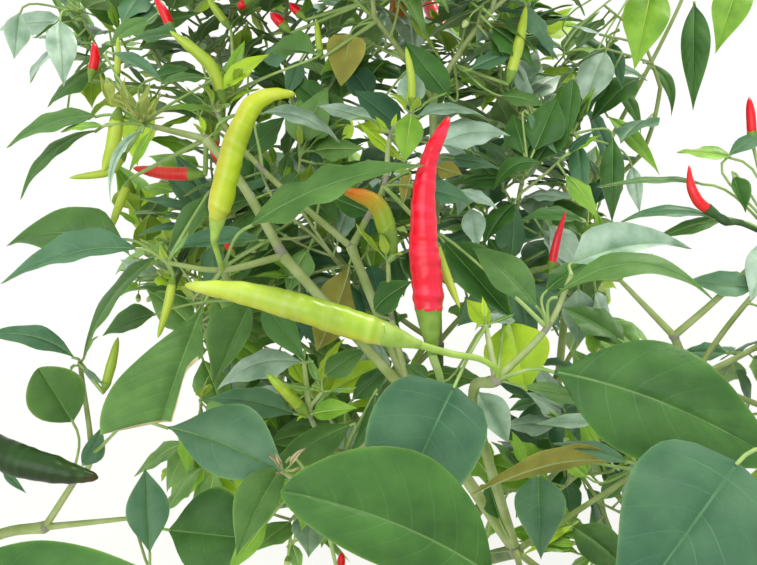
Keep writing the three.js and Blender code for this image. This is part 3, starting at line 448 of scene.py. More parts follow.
FAR_PODS = [
  [[170, 26, 336], [164, 12, 336], [155, -2, 336], 2.2, "red"],
  [[246, 2, 345], [242, 5, 345], [237, 7, 345], 2.0, "red"],
  [[284, 26, 340], [278, 20, 340], [270, 13, 340], 2.4, "red"],
  [[300, 14, 340], [295, 9, 340], [289, 3, 340], 2.0, "red"],
  [[92, 72, 340], [95, 58, 340], [94, 42, 340], 2.2, "red"],
  [[216, 140, 336], [214, 150, 336], [219, 164, 336], 2.0, "red"],
  [[232, 252, 330], [228, 246, 330], [224, 241, 330], 1.5, "red"],
  [[511, 74, 340], [519, 44, 340], [526, 6, 340], 2.6, "lime"],
  [[226, 23, 350], [216, 10, 350], [207, -2, 350], 2.0, "green"],
  [[320, 52, 334], [318, 36, 334], [317, 20, 334], 1.6, "lime"],
  [[340, 570, 296], [341, 562, 296], [342, 552, 296], 1.8, "red"],
]

# The shoots that end in young leaves: how many there are, and their shortest and longest in mm.
YOUNG_SHOOTS = [
  ["apex", 18, (6, 13)],
  ["withered_flower", 5, (5, 9)],
  ["inner_bud", 3, (4, 7)],
  ["upper_left_node", 4, (7, 14)],
  ["upper_left_shoot", 7, (8, 17)],
  ["upper_left_tip", 7, (8, 16)],
  ["left_twig_end", 4, (6, 12)],
  ["centre_shoot_tip", 5, (6, 14)],
  ["centre_shoot", 4, (8, 16)],
  ["inner_tip", 4, (8, 16)],
  ["inner_node", 3, (6, 12)],
  ["inner_rise_tip", 4, (8, 16)],
  ["right_side_shoot", 3, (6, 12)],
  ["right_edge_left", 4, (7, 15)],
  ["right_edge_top", 3, (8, 14)],
  ["low_left_upper", 2, (6, 12)],
]

# The kinds of young leaves at these places. Those of the others are lime or soft.
SHOOT_KINDS = {"apex": "olive", "withered_flower": "withered"}

# The large pods: the place each one grows from, what its stalk passes, its line from the calyx
# to the tip, both as [pixel x, pixel y, mm away], and its radius in mm.
PODS = {
  "pod_long_green": [
    "right_node",
    [[498, 371, 258], [480, 359, 256], [452, 354, 255]],
    [[388, 335, 254], [343, 321, 253], [310, 311, 252], [245, 293, 252], [185, 285, 252]],
    5.3,
  ],
  "pod_red_upright": [
    "right_bend",
    [[446, 394, 268], [439, 374, 263]],
    [[429, 314, 262], [425, 266, 262], [423, 229, 262], [424, 192, 262], [431, 155, 263],
     [449, 117, 266]],
    5.5,
  ],
  "pod_curved_green": [
    "left_twig",
    [[220, 262, 270], [214, 242, 264]],
    [[217, 222, 262], [222, 195, 262], [231, 158, 262], [241, 129, 262], [253, 106, 262],
     [272, 95, 262], [295, 94, 262]],
    4.4,
  ],
  "pod_orange": ["inner_rise_tip", [], [[389, 236, 288], [376, 204, 288], [342, 190, 288]], 3.8],
  "pod_red_level": ["upper_left_node", [],
                    [[192, 174, 300], [163, 173, 300], [133, 168, 298]], 2.8],
  "pod_red_small": ["right_edge_left", [],
                    [[552, 264, 320], [557, 240, 320], [566, 211, 322]], 2.6],
  "pod_red_edge": ["right_edge_top", [[742, 223, 284]],
                   [[709, 210, 280], [699, 202, 280], [691, 186, 280], [689, 165, 282]], 2.8],
  "pod_dark": ["left_fork", [], [[-40, 436, 262], [30, 464, 256], [98, 478, 254]], 5.2],
  "pod_lime_low": ["inner_node", [], [[301, 408, 288], [288, 394, 287], [267, 374, 286]], 2.9],
}

# The masses that a rule grows: the fork each one starts from, and its space as a middle and a
# radius.
GROWN = {
  "foliage_back_left_low": ["back_left_fork", point(-150, 92, 440), 96],
  "foliage_back_left_high": ["back_left_node", point(-160, 112, 562), 98],
  "foliage_back_high": ["back_left_node", point(-62, 152, 578), 98],
  "foliage_back_low": ["back_left_fork", point(-36, 150, 446), 96],
  "foliage_back_right_low": ["back_right_fork", point(136, 122, 420), 92],
  "foliage_back_right_high": ["back_right_node", point(142, 70, 532), 90],
  "foliage_back": ["back_right_node", point(36, 176, 530), 96],
  "foliage_right_low": ["right_fork", point(196, 18, 430), 84],
  "foliage_right_front": ["right_fork", point(150, -96, 400), 84],
  "foliage_centre_left": ["centre_fork", point(-88, 18, 486), 92],
  "foliage_centre_right": ["centre_fork", point(60, 6, 492), 92],
  "foliage_top_left": ["top_node", point(-72, 36, 622), 96],
  "foliage_top_right_high": ["top_node", point(52, 58, 626), 96],
  "foliage_front_low": ["low_fork", point(48, -150, 402), 84],
  "foliage_left_low": ["left_fork", point(-240, -14, 400), 84],
  "foliage_left_high": ["left_fork", point(-272, -76, 446), 84],
  "foliage_right_high": ["right_fork", point(204, 44, 496), 90],
  "foliage_inner_left": ["back_left_fork", point(-126, 2, 396), 84],
  "foliage_inner_right": ["back_right_fork", point(72, -22, 380), 80],
  "foliage_inner_front": ["centre_fork", point(-44, -22, 384), 80],
}


def seeded(seed):
    """A repeatable run of numbers from 0 to 1."""
    state = seed

    def draw():
        nonlocal state
        state = (state + 0x6D2B79F5) & 0xFFFFFFFF
        mixed = (state ^ (state >> 15)) * (state | 1) & 0xFFFFFFFF
        mixed = (mixed + ((mixed ^ (mixed >> 7)) * (mixed | 61) & 0xFFFFFFFF)) & 0xFFFFFFFF ^ mixed
        return ((mixed ^ (mixed >> 14)) & 0xFFFFFFFF) / 4294967296

    return draw


def between(low, high, share):
    return low + (high - low) * share


def turned(direction, axis, angle):
    return Quaternion(axis, angle) @ direction


def square(axis, angle):
    """A direction square to `axis`, turned by `angle` round it."""
    hint = UP if abs(axis.z) < 0.9 else Vector((1, 0, 0))
    return turned(hint.cross(axis).normalized(), axis, angle)


def squared(wanted, axis):
    """The part of `wanted` that is square to `axis`."""
    return (wanted - wanted.dot(axis) * axis).normalized()


def line_seen(spots):
    return [seen(*spot) for spot in spots]


def smooth_line(points, step):
    """Points about `step` apart on a smooth curve through the given ones."""
    padded = [2 * points[0] - points[1], *points, 2 * points[-1] - points[-2]]
    line = []
    for a, b, c, d in zip(padded, padded[1:], padded[2:], padded[3:]):
        count = max(1, round((c - b).length / step))
        for i in range(count):
            t = i / count
            bend = (2 * a - 5 * b + 4 * c - d) * t * t + (3 * b - a - 3 * c + d) * t ** 3
            line.append(b + 0.5 * ((c - a) * t + bend))
    line.append(points[-1].copy())
    return line


def eased(table, share):
    """The value at `share` in a table of [share, value], eased from one to the next."""
    for (low, first), (high, last) in zip(table, table[1:]):
        if share <= high:
            t = max(0.0, (share - low) / (high - low))
            return between(first, last, t * t * (3 - 2 * t))
    return table[-1][1]


class Skin:
    """The corners of one piece in mm, its faces, and the finish of each face."""

    def __init__(self):
        self.corners = []
        self.faces = []
        self.finishes = []
        self.triangles = 0

    def add(self, faces, finish):
        self.faces += faces
        self.finishes += [finish] * len(faces)
        self.triangles += sum(len(face) - 2 for face in faces)


# How far a tube's domed end stands out, as a share of its radius.
DOME = 0.3


def loft(skin, line, radii, sides, finish, relief=None):
    """A closed tube along a line, with a radius and a finish at each ring and domed ends.
    `relief` scales the radius by the share of the length and the angle round it."""
    base = len(skin.corners)
    last = len(line) - 1
    finishes = finish if isinstance(finish, list) else [finish] * len(line)
    angles = [math.tau * k / sides for k in range(sides)]
    spokes = [(a, math.cos(a), math.sin(a)) for a in angles]
    side = None
    for i, centre in enumerate(line):
        along = (line[min(i + 1, last)] - line[max(i - 1, 0)]).normalized()
        side = squared(side, along) if side else square(along, 0)
        over = along.cross(side)
        for angle, c, s in spokes:
            wide = radii[i] * (relief(i / last, angle) if relief else 1)
            skin.corners.append(centre + (side * c + over * s) * wide)
    for i in range(last):
        low = base + i * sides
        ring = []
        for k in range(sides):
            after = (k + 1) % sides
            ring.append((low + k, low + after, low + sides + after, low + sides + k))
        skin.add(ring, finishes[i])
    for end, towards, ring, order in ((0, 1, base, -1), (last, last - 1, base + last * sides, 1)):
        out = (line[end] - line[towards]).normalized()
        skin.corners.append(line[end] + out * radii[end] * DOME)
        tip = len(skin.corners) - 1
        fan = [(tip, ring + k, ring + (k + 1) % sides)[::order] for k in range(sides)]
        skin.add(fan, finishes[end])
    return base


# What already stands, as rough shapes in cells, so that only what is close by is compared.
CELL = 40


class Rough:
    """A rough shape for telling whether things touch, and the mass that it belongs to."""

    def __init__(self, corners, faces, owner=None):
        self.tree = BVHTree.FromPolygons(corners, faces)
        self.low = [min(c[axis] for c in corners) for axis in range(3)]
        self.high = [max(c[axis] for c in corners) for axis in range(3)]
        self.owner = owner

    def touches(self, other):
        for axis in range(3):
            if self.low[axis] > other.high[axis] or self.high[axis] < other.low[axis]:
                return False
        return bool(self.tree.overlap(other.tree))

    def cells(self):
        spans = [range(int(a // CELL), int(b // CELL) + 1) for a, b in zip(self.low, self.high)]
        return [(x, y, z) for x in spans[0] for y in spans[1] for z in spans[2]]


standing = {}


def stand(rough):
    for cell in rough.cells():
        standing.setdefault(cell, []).append(rough)
    return rough


def near(rough):
    return {id(other): other for cell in rough.cells() for other in standing.get(cell, ())}.values()


def rough_tube(points, radii, sides=4):
    """The rough shape of a tube."""
    skin = Skin()
    loft(skin, points, radii, sides, "")
    return Rough(skin.corners, skin.faces)


def rough_blade(foot, tip, face, width):
    """The rough shape of a leaf's blade: four faces that meet on its midrib."""
    along = tip - foot
    side = along.cross(face).normalized()
    middle = foot.lerp(tip, LEAF_MIDDLE) + face * along.length * LEAF_RISE
    drop = face * width * LEAF_DROP
    left = middle - side * width / 2 - drop
    right = middle + side * width / 2 - drop
    return Rough([foot, left, tip, right, middle], [(0, 4, 1), (1, 4, 2), (0, 3, 4), (3, 2, 4)])


# Everything that starts at a place, as directions and radii, so that the masses start where the
# solids' forks end.
arms_at = {}


def twig_radius(forks):
    return TWIG_TIP + TWIG_PER_FORK * forks


def add_arm(place, towards, radius):
    heading = (towards - PLACES[place]).normalized()
    arms_at.setdefault(place, []).append((heading, radius))


for route, first, _ in LIMBS.values():
    add_arm(route[0], PLACES[route[1]], first)
for mass in SHOWN.values():
    route = mass["twigs"][0]
    add_arm(route[0], PLACES[route[1]], twig_radius(SHOOT_FORKS))
for fork, middle, _ in GROWN.values():
    add_arm(fork, middle, twig_radius(SHOOT_FORKS))


def prong_at(place):
    """How far out a fork's arms reach before what grows on from them is clear of each other."""
    arms = arms_at.get(place, [])
    reach = SHORTEST_PRONG
    for i, (heading, radius) in enumerate(arms):
        for other, wide in arms[i + 1:]:
            half = heading.angle(other) / 2
            reach = max(reach, (radius + wide + 2 * GAP) / (2 * math.sin(half)))
    return reach


# Boxes of the picture as (left, top, right, bottom): all of it, the same with a rim, and the gaps
# in the foliage. Nothing that the rule grows is nearer to the lens than OPEN_FRONT.
WHOLE = (0, 0, *PICTURE)
RIMMED = (-60, -60, 817, 625)
GAPS_SHOWN = [(-60, 132, 112, 625), (112, 300, 196, 470), (606, 96, 817, 345)]
OPEN_FRONT = 335


def in_box(px, py, box):
    left, top, right, bottom = box
    return left < px < right and top < py < bottom


def spoils_picture(p):
    """Whether a point would fill the space in front of what shows, or one of its gaps."""
    px, py, far = shown_at(p)
    if not in_box(px, py, RIMMED):
        return False
    return far < OPEN_FRONT or any(in_box(px, py, gap) for gap in GAPS_SHOWN)


# What grows in a mass. Each can say its rough shape, from `skip` mm past its root and wider by
# a margin. A pod's rough radii are those at its root, calyx, middle and tip, a bud's those at its
# root and its end. Within ROOT mm of its root a thing may touch what it grows from.
ROOT = 5
MARGIN = 0.4
TURNS = (0, 1.3, 2.6, 3.9, 5.2)
ROOT_SWELL = 1.15
POD_SAG = 0.05
POD_ROUGH = (1.2, 4, POD_RADIUS, 1)
BUD_ROUGH = (0.6, 1.6)


class Growth:
    """What grows from a root in one direction."""

    def __init__(self, root, out, size):
        self.root = root
        self.out = out
        self.size = size
        self.end = root + out * size

    def past(self, skip):
        return self.root + self.out * skip


class Twig(Growth):
    """A straight twig, and the rough shapes of what forks from its end."""

    def __init__(self, root, out, size, forks, radius=None):
        super().__init__(root, out, size)
        self.radius = radius or twig_radius(forks)
        self.forked = []

    def rough(self, skip, wider):
        radii = [self.radius * ROOT_SWELL + wider, self.radius + wider]
        return rough_tube([self.past(skip), self.end], radii)


class Leaf(Growth):
    """A leaf from the root of its stalk to its tip, with the way that its upper side looks."""

    def __init__(self, root, out, size, roll, wide=LEAF_WIDE):
        super().__init__(root, out, size)
        self.face = turned(squared(UP, out), out, roll)
        self.width = size * wide

    def rough(self, skip, wider):
        width = self.width + 2 * wider
        return rough_blade(self.past(skip), self.end + self.out, self.face, width)


class Pod(Growth):
    """A pod that leans out on its stalk and sags a little."""

    def __init__(self, root, out, size):
        super().__init__(root, out, size)
        self.calyx = root + out * POD_STALK
        self.end = self.calyx + out * size
        self.middle = self.calyx.lerp(self.end, 0.5) - UP * size * POD_SAG

    def rough(self, skip, wider):
        line = [self.past(skip), self.calyx, self.middle, self.end]
        return rough_tube(line, [radius + wider for radius in POD_ROUGH])


class Bud(Growth):
    """A flower bud on its stalk."""

    def rough(self, skip, wider):
        return rough_tube([self.past(skip), self.end], [radius + wider for radius in BUD_ROUGH])


class Mass:
    """A mass's space, what has grown in it, and the leaves and pods that wait for room."""

    def __init__(self, middle, reach):
        self.middle = middle
        self.reach = reach
        self.grown = []
        self.waiting = []


def has_room(item, mass, under):
    """Whether an item is clear of what stands, and past its root of its own mass too."""
    whole = item.rough(0, MARGIN)
    free = item.rough(ROOT, MARGIN)
    for other in near(whole):
        if other.owner is not mass:
            if whole.touches(other):
                return False
        elif other not in under and free.touches(other):
            return False
    return True


def place(mass, make_item, under):
    """Sets an item at the first of five turns where it keeps to its mass's space, leaves the
    picture as it is, and is clear of all but what it grows from."""
    for turn in TURNS:
        item = make_item(turn)
        is_out = (item.end - mass.middle).length > mass.reach
        if is_out or spoils_picture(item.end) or not has_room(item, mass, under):
            continue
        item.shape = stand(item.rough(0, 0))
        item.shape.owner = mass
        item.spray = under[0]
        mass.grown.append(item)
        return item
    return None


def leaf_way(twig, spin, i, droop):
    out = square(twig.out, spin + i * GOLDEN_TURN)
    return (out + twig.out * (LEAF_AHEAD - LEAF_AHEAD_LESS * i) - UP * droop).normalized()


def leaf_draws(sizes, random):
    """A leaf's size, how far it droops and how far it rolls."""
    size = between(*sizes, random())
    droop = LEAF_DROOP * random()
    return size, droop, math.radians(LEAF_ROLL * (random() - 0.5))


def grow_twigs(mass, twig, forks, length, random):
    """Twigs that fork in two again and again, as the solids' rule grows them. The leaves and pods
    that will sit on each one wait in the mass's list. Every draw is made, even for twigs that
    found no room, so that one twig's fate doesn't change the others."""
    spin = random() * math.tau
    leaves = LEAVES_PER_TWIG if forks else LEAVES_PER_TIP
    for i in range(leaves):
        size, droop, roll = leaf_draws(LEAF_SIZES, random)
        share = 1 - LEAF_SPREAD * i / leaves

        def make_leaf(root, turn, i=i, size=size, droop=droop, roll=roll):
            return Leaf(root, leaf_way(twig, spin + turn, i, droop), size, roll)

        mass.waiting.append((twig, share, make_leaf))
    pod_length = between(*POD_SIZES, random())
    rise = 0.5 + random()
    if random() < POD_SHARE:

        def make_pod(root, turn):
            lean = square(twig.out, spin + 1 + turn) + UP * rise
            return Pod(root, lean.normalized(), pod_length)

        mass.waiting.append((twig, POD_AT, make_pod))
    if not forks:
        return
    for way in (-1, 1):
        angle = math.radians(FORK_TURN + FORK_SPREAD * (random() - 0.5))

        def make_twig(turn):
            hinge = square(twig.out, spin + turn)
            heading = turned(twig.out, hinge, way * angle) + UP * LIFT
            start = twig.end + twig.out * FORK_APART * way
            return Twig(start, heading.normalized(), length, forks - 1)

        next_twig = twig and place(mass, make_twig, [twig.shape, *twig.forked])
        if next_twig:
            twig.forked.append(next_twig.shape)
        grow_twigs(mass, next_twig, forks - 1, length * SHOOT_SHORTER, random)


def start_mass(fork, middle, reach, random):
    heading = (middle - PLACES[fork]).normalized()
    base = PLACES[fork] + heading * (prong_at(fork) + GAP)
    mass = Mass(middle, reach)
    stem = Twig(base, heading, SHOOT_FIRST, SHOOT_FORKS)
    stem.shape = stand(stem.rough(0, 0))
    stem.shape.owner = mass
    stem.spray = None
    mass.grown.append(stem)
    grow_twigs(mass, stem, SHOOT_FORKS, SHOOT_FIRST * SHOOT_SHORTER, random)
    return mass


def fill_mass(mass):
    for twig, share, make_item in mass.waiting:
        if twig:
            root = twig.root.lerp(twig.end, share)
            place(mass, lambda turn: make_item(root, turn), [twig.shape])


# Finer growth within the same space, which the solids are too coarse for: side shoots, smaller
# leaves that fill the crown, buds and young leaves at the tips.
FINE_SEED = 411
FINE_SHOOTS = 3
FINE_LENGTH = (16, 30)
FINE_RADIUS = 0.62
FINE_SPREAD = 0.8
FINE_AHEAD = 0.7
FINE_RISE = 0.3
FINE_LEAVES = 5
FINE_LEAF = (34, 58)
FINE_WIDE = 0.42
FINE_LEAF_SPREAD = 0.9
YOUNG_LEAF = (14, 26)
YOUNG_WIDE = 0.34
YOUNG_AT_TIP = 2
YOUNG_TURN = 2.6
YOUNG_OUT = 0.7
YOUNG_RISE = (0.16, 0.4)
BUD_SHARE = 0.3
BUD_SIZE = 13


def grow_finer(mass, twig, random):
    """Side shoots with leaves along one twig, and young leaves and buds at its end."""
    spin = random() * math.tau
    for i in range(FINE_SHOOTS):
        root = twig.root.lerp(twig.end, 1 - FINE_SPREAD * i / FINE_SHOOTS)
        length = between(*FINE_LENGTH, random())

        def make_shoot(turn):
            out = square(twig.out, spin + i * GOLDEN_TURN + turn)
            heading = (out + twig.out * FINE_AHEAD + UP * FINE_RISE).normalized()
            return Twig(root, heading, length, 0, FINE_RADIUS)

        shoot = place(mass, make_shoot, [twig.shape])
        add_leaves(mass, shoot or twig, FINE_LEAVES, FINE_LEAF, random)
        if shoot:
            add_tip(mass, shoot, random)


def add_leaves(mass, twig, count, sizes, random):
    """Leaves along a twig, from its tip back."""
    spin = random() * math.tau
    for i in range(count):
        size, droop, roll = leaf_draws(sizes, random)
        root = twig.root.lerp(twig.end, 1 - FINE_LEAF_SPREAD * i / count)

        def make_leaf(turn):
            return Leaf(root, leaf_way(twig, spin + turn, i, droop), size, roll, FINE_WIDE)

        place(mass, make_leaf, [twig.shape])


def add_tip(mass, twig, random):
    """The small young leaves, and now and then a bud, at the end of a shoot."""
    spin = random() * math.tau
    for i in range(YOUNG_AT_TIP):
        size = between(*YOUNG_LEAF, random())
        rise = between(*YOUNG_RISE, random())

        def make_young(turn):
            out = square(twig.out, spin + i * YOUNG_TURN + turn) * YOUNG_OUT
            out = (out + twig.out + UP * rise).normalized()
            return Leaf(twig.end, out, size, 0, YOUNG_WIDE)

        place(mass, make_young, [twig.shape])
    if random() < BUD_SHARE:

        def make_bud(turn):
            out = square(twig.out, spin + 1.3 + turn) + twig.out * 0.4 - UP * 0.5
            return Bud(twig.end, out.normalized(), BUD_SIZE)

        place(mass, make_bud, [twig.shape])


FILL_TRIES = 110
FILL_REACH = (20, 78)
FILL_WITHIN = 0.96
FILL_ROOTS = (0.4, 0.9)
FILL_LEAF = (38, 60)
FILL_ROLL = 50
FILL_VEER = 0.12


def fill_gaps(mass, random):
    """Leaves that reach from the twigs to where the mass is bare."""
    grown = [item for item in mass.grown if isinstance(item, Twig)]
    for _ in range(FILL_TRIES):
        aim = Vector([2 * random() - 1 for _ in range(3)])
        spin = random()
        if aim.length > 1:
            continue
        target = mass.middle + aim * mass.reach * FILL_WITHIN
        roots = [(twig, twig.root.lerp(twig.end, share)) for twig in grown for share in FILL_ROOTS]
        twig, root = min(roots, key=lambda pair: (pair[1] - target).length)
        gap = (target - root).length
        if not FILL_REACH[0] < gap < FILL_REACH[1]:
            continue
        size = between(0.85, 1, random()) * min(max(gap, FILL_LEAF[0]), FILL_LEAF[1])

        def make_leaf(turn):
            straight = (target - root).normalized()
            out = (straight + square(straight, turn) * FILL_VEER * turn).normalized()
            return Leaf(root, out, size, math.radians(FILL_ROLL) * (spin - 0.5), FINE_WIDE)

        place(mass, make_leaf, [twig.shape])


# A blade's veins, and how its skin lies: half the width of a side vein and how far it slants
# forward as shares of the length, how deep the midrib lies and how wide it is in mm, how far the
# skin is raised between two veins as a share of the length, and what is left of the edge where
# it looks torn.
VEIN_HALF = 0.0045
VEIN_NARROWS = 0.8
VEIN_SLANT = 0.9
VEIN_CURVE = 1.3
VEIN_DEPTH = 0.32
RIB_HALF = 0.34
RIB_NARROWS = 0.7
BLADE_THICK = 0.36
BULGE = 0.0032
TORN_LEFT = 0.85


def half_width(share, peak, full):
    """How wide a blade is at a share of its length, as a share of its widest. `peak` is where it
    is widest, and it is fuller towards its ends where `full` is less than 1."""
    power = math.log(0.5) / math.log(peak)
    base = 1 - math.exp(-share / (0.06 * (peak / 0.4) ** 3))
    return (math.sin(math.pi * share ** power) ** 1.25 * base) ** full


def blade_rows(veins, panels):
    """Rows across a blade as [where they cross the midrib, which side of a vein they are on,
    how far they are up between two veins]."""
    rows = []
    for k in range(veins + 1):
        for i in range(panels):
            share = (i + 1) / (panels + 1)
            rows.append(((k + share) / (veins + 1), 0, math.sin(math.pi * share)))
        if k < veins:
            at = (k + 1) / (veins + 1)
            rows += [(at, -VEIN_HALF, 0), (at, VEIN_HALF, 0)]
    return rows


class Detail:
    """How finely a kind of leaf is modelled: rows, and columns from the midrib to the edge."""

    def __init__(self, veins, panels, columns):
        self.rows = blade_rows(veins, panels)
        self.columns = columns


LARGE_LEAF = Detail(8, 3, (0.22, 0.44, 0.66, 0.86, 1))
MIDDLE_LEAF = Detail(7, 2, (0.3, 0.6, 0.84, 1))
SMALL_LEAF = Detail(5, 2, (0.36, 0.74, 1))
CROWN_LEAF = Detail(3, 1, (0.55, 1))
SHOWN_CROWN_LEAF = Detail(4, 2, (0.5, 0.85, 1))
CROWN_YOUNG = Detail(3, 1, (0.5, 1))


class Lie:
    """How a blade lies: its arch and recurved tip, how far its halves fold up and curl down, and
    its waved edge and twist."""

    def __init__(self, random, ease=1.0):
        self.arch = 0.05 + 0.035 * random() * ease
        self.hook = 0.03 * (random() - 0.3) * ease
        self.fold = 0.12 + 0.3 * random() * ease
        self.curl = 0.22 + 0.3 * random() * ease
        self.wave = 0.05 + 0.1 * random() * ease
        self.waves = 2 + 2 * random()
        self.phase = random() * math.tau
        self.twist = 0.5 * (random() - 0.5) * ease
        self.bend = 0.06 * (random() - 0.5) * ease
        self.peak = 0.37 + 0.06 * random()
        self.full = 1
        self.cut = (1, 1, 1)
        self.bites = ()


def fitted(foot, tip, face, shows, lie):
    """The widths in mm of a blade's two halves, such that `shows` holds how many pixels of it
    show left and right of its midrib. Its fold, arch and bend are set to suit."""
    (x0, y0, _), (x1, y1, _) = shown_at(foot), shown_at(tip)
    run = math.hypot(x1 - x0, y1 - y0)
    leftward = ((y1 - y0) / run, (x0 - x1) / run)
    along = (tip - foot).normalized()
    side = along.cross(face).normalized()
    middle = foot.lerp(tip, 0.5)

    def shift(way):
        (xa, ya, _), (xb, yb, _) = shown_at(middle), shown_at(middle + way)
        return (xb - xa) * leftward[0] + (yb - ya) * leftward[1]

    flat, high = shift(side), shift(side.cross(along))
    left, right, bow = shows
    length = (tip - foot).length
    broad = max(abs(flat), 0.3)
    slope = (left - right) * broad / ((left + right) * high) if abs(high) > 0.2 else 0
    slope = max(-0.5, min(0.8, slope))
    lie.fold = lie.curl + slope
    rest = bow - length * lie.arch * high
    size = (flat * flat + high * high) * length
    lie.bend = rest * flat / size
    lie.arch += rest * high / size
    halves = [left / (broad + slope * high), right / (broad - slope * high)]
    halves = [min(half, 0.5 * length) for half in halves]
    return halves if flat < 0 else halves[::-1]


def bitten(lie, share, way):
    """How much of the blade's half is left at a share of its length."""
    left = 1.0
    for at, side, deep, wide in lie.bites:
        if side == way:
            left -= deep * math.exp(-(((share - at) / wide) ** 8))
    return left


def vein_end(at):
    """Where a row that crosses the midrib at a share of the length meets the edge."""
    return at + VEIN_SLANT * at * (1 - at)


def half_row(at, offset, way, widest, cut, lie, columns):
    """Half of a row across a blade: the share of the length, how far out it is in mm and as a
    share of the widest, and the share of the way from the midrib to the edge."""
    edge = vein_end(at) * cut
    reach = half_width(edge, lie.peak, lie.full) * widest * bitten(lie, edge, way)
    rib = RIB_HALF * (1 - RIB_NARROWS * at) * (0.5 + 0.5 * widest / 15)
    narrow = min(rib, reach * 0.4)
    half = []
    for t in (0, *columns):
        out = narrow + (reach - narrow) * t
        u = at + offset * (1 - VEIN_NARROWS * t) + VEIN_SLANT * at * (1 - at) * t ** VEIN_CURVE
        half.append((u * between(lie.cut[0], cut, t), way * out, out / widest, t))
    return half


def blade(skin, foot, tip, face, halves, kind, detail, lie):
    """A leaf's blade: an upper and a lower skin that meet at its edge, with a sunken midrib and
    sunken side veins that curve forward, and the skin raised between them."""
    length = (tip - foot).length
    along = (tip - foot) / length
    side = along.cross(face).normalized()
    top = side.cross(along)
    upper, vein, rib, lower, under_rib = KINDS[kind]
    rim = 2 * len(detail.columns) + 2
    columns = rim + 1
    centre = rim // 2
    base = len(skin.corners)
    tops = []
    for at, offset, rise in detail.rows:
        left = half_row(at, offset, -1, halves[0], lie.cut[1], lie, detail.columns)
        right = half_row(at, offset, 1, halves[1], lie.cut[2], lie, detail.columns)
        middle = ((at + offset) * lie.cut[0], 0, 0, -1)
        for u, out, wide, t in [*left[::-1], middle, *right]:
            turn = lie.twist * (u - 0.4)
            lift = lie.fold * abs(out) - lie.curl * abs(out) * wide
            ripple = math.sin(lie.waves * math.tau * u + lie.phase + (2 if out > 0 else 0))
            lift += lie.wave * sum(halves) / 2 * wide * wide * ripple
            lift += rise * BULGE * length * math.sin(math.pi * min(max(t, 0), 1) ** 0.8)
            lift -= VEIN_DEPTH if t < 0 else 0
            arch = 4 * lie.arch * u * (1 - u) + lie.hook * math.sin(math.tau * u)
            sway = lie.bend * length * 4 * u * (1 - u)
            b = out * math.cos(turn) - lift * math.sin(turn) + sway
            c = out * math.sin(turn) + lift * math.cos(turn) + arch * length
            tops.append(foot + along * (u * length) + side * b + top * c)
    skin.corners += tops
    unders = []
    for i, corner in enumerate(tops):
        if i % columns in (0, rim):
            unders.append(base + i)
        else:
            unders.append(len(skin.corners))
            skin.corners.append(corner - top * BLADE_THICK)
    is_torn = lie.cut[0] < 1
    foot_corner = len(skin.corners)
    tip_corner = foot_corner + 1
    end = tops[-1 - centre] + along * 0.5 if is_torn else tip.copy()
    skin.corners += [foot.copy(), end]
    last = len(tops) - columns
    for i, (at, offset, _) in enumerate(detail.rows[:-1]):
        for j in range(rim):
            is_rib = j in (centre - 1, centre)
            finish = rib if is_rib else vein if offset < 0 else upper
            if j in (0, rim - 1) and lie.bites:
                edge = vein_end(at) * lie.cut[2 if j else 1]
                finish = "torn" if bitten(lie, edge, 1 if j else -1) < TORN_LEFT else finish
            a = i * columns + j
            b = a + columns
            skin.add([(base + a, base + a + 1, base + b + 1, base + b)], finish)
            lows = (unders[a], unders[b], unders[b + 1], unders[a + 1])
            skin.add([lows], under_rib if is_rib else lower)
    for j in range(rim):
        a = last + j
        skin.add([(foot_corner, base + j + 1, base + j)], upper)
        skin.add([(foot_corner, unders[j], unders[j + 1])], lower)
        skin.add([(base + a, base + a + 1, tip_corner)], "torn" if is_torn else upper)
        skin.add([(unders[a + 1], unders[a], tip_corner)], lower)


# A leaf's stalk: how far it bows up and runs level into the blade as shares of its reach, how
# far it goes on inside the blade in mm, and how wide it is at its root and after.
STALK_BOW = 0.06
STALK_LEVEL = 0.35
STALK_INSIDE = 1.2
STALK_WIDE = (1.35, 0.85)


def stalk(skin, root, foot, heading, radius, sides, finish, rings=8):
    """A leaf's thin stalk, from its swollen root to just inside the blade."""
    reach = (foot - root).length
    first = root.lerp(foot, 0.4) + UP * reach * STALK_BOW
    second = foot - heading * reach * STALK_LEVEL
    end = foot + heading * STALK_INSIDE
    line = []
    radii = []
    for i in range(rings):
        t = i / (rings - 1)
        a, b, c, d = (1 - t) ** 3, 3 * t * (1 - t) ** 2, 3 * t * t * (1 - t), t ** 3
        line.append(root * a + first * b + second * c + end * d)
        radii.append(radius * between(*STALK_WIDE, min(t * 3, 1)))
    loft(skin, line, radii, sides, finish)


# A pod's radius along its body, as [share of its length, share of its radius].
POD_BODY = [
  (0, 0.86), (0.06, 0.95), (0.16, 1), (0.4, 1), (0.7, 0.83), (0.82, 0.64), (0.9, 0.48),
  (0.955, 0.35), (0.985, 0.23), (1, 0.07),
]
NARROW_NECK = [
  (0, 0.58), (0.03, 0.72), (0.08, 0.9), (0.15, 1), (0.4, 0.99), (0.7, 0.82), (0.82, 0.64),
  (0.9, 0.5), (0.955, 0.37), (0.985, 0.25), (1, 0.07),
]
LONG_BODY = [
  (0, 0.72), (0.03, 0.85), (0.1, 0.97), (0.2, 1), (0.45, 0.94), (0.7, 0.78), (0.84, 0.58),
  (0.93, 0.4), (0.98, 0.24), (1, 0.07),
]
SLENDER = [
  (0, 0.76), (0.025, 0.88), (0.08, 0.98), (0.2, 1), (0.4, 0.88), (0.62, 0.7), (0.8, 0.52),
  (0.9, 0.42), (0.96, 0.3), (0.988, 0.18), (1, 0.05),
]
TAPERED = [
  (0, 0.95), (0.2, 1), (0.45, 0.92), (0.65, 0.72), (0.8, 0.5), (0.92, 0.3), (0.98, 0.16),
  (1, 0.05),
]

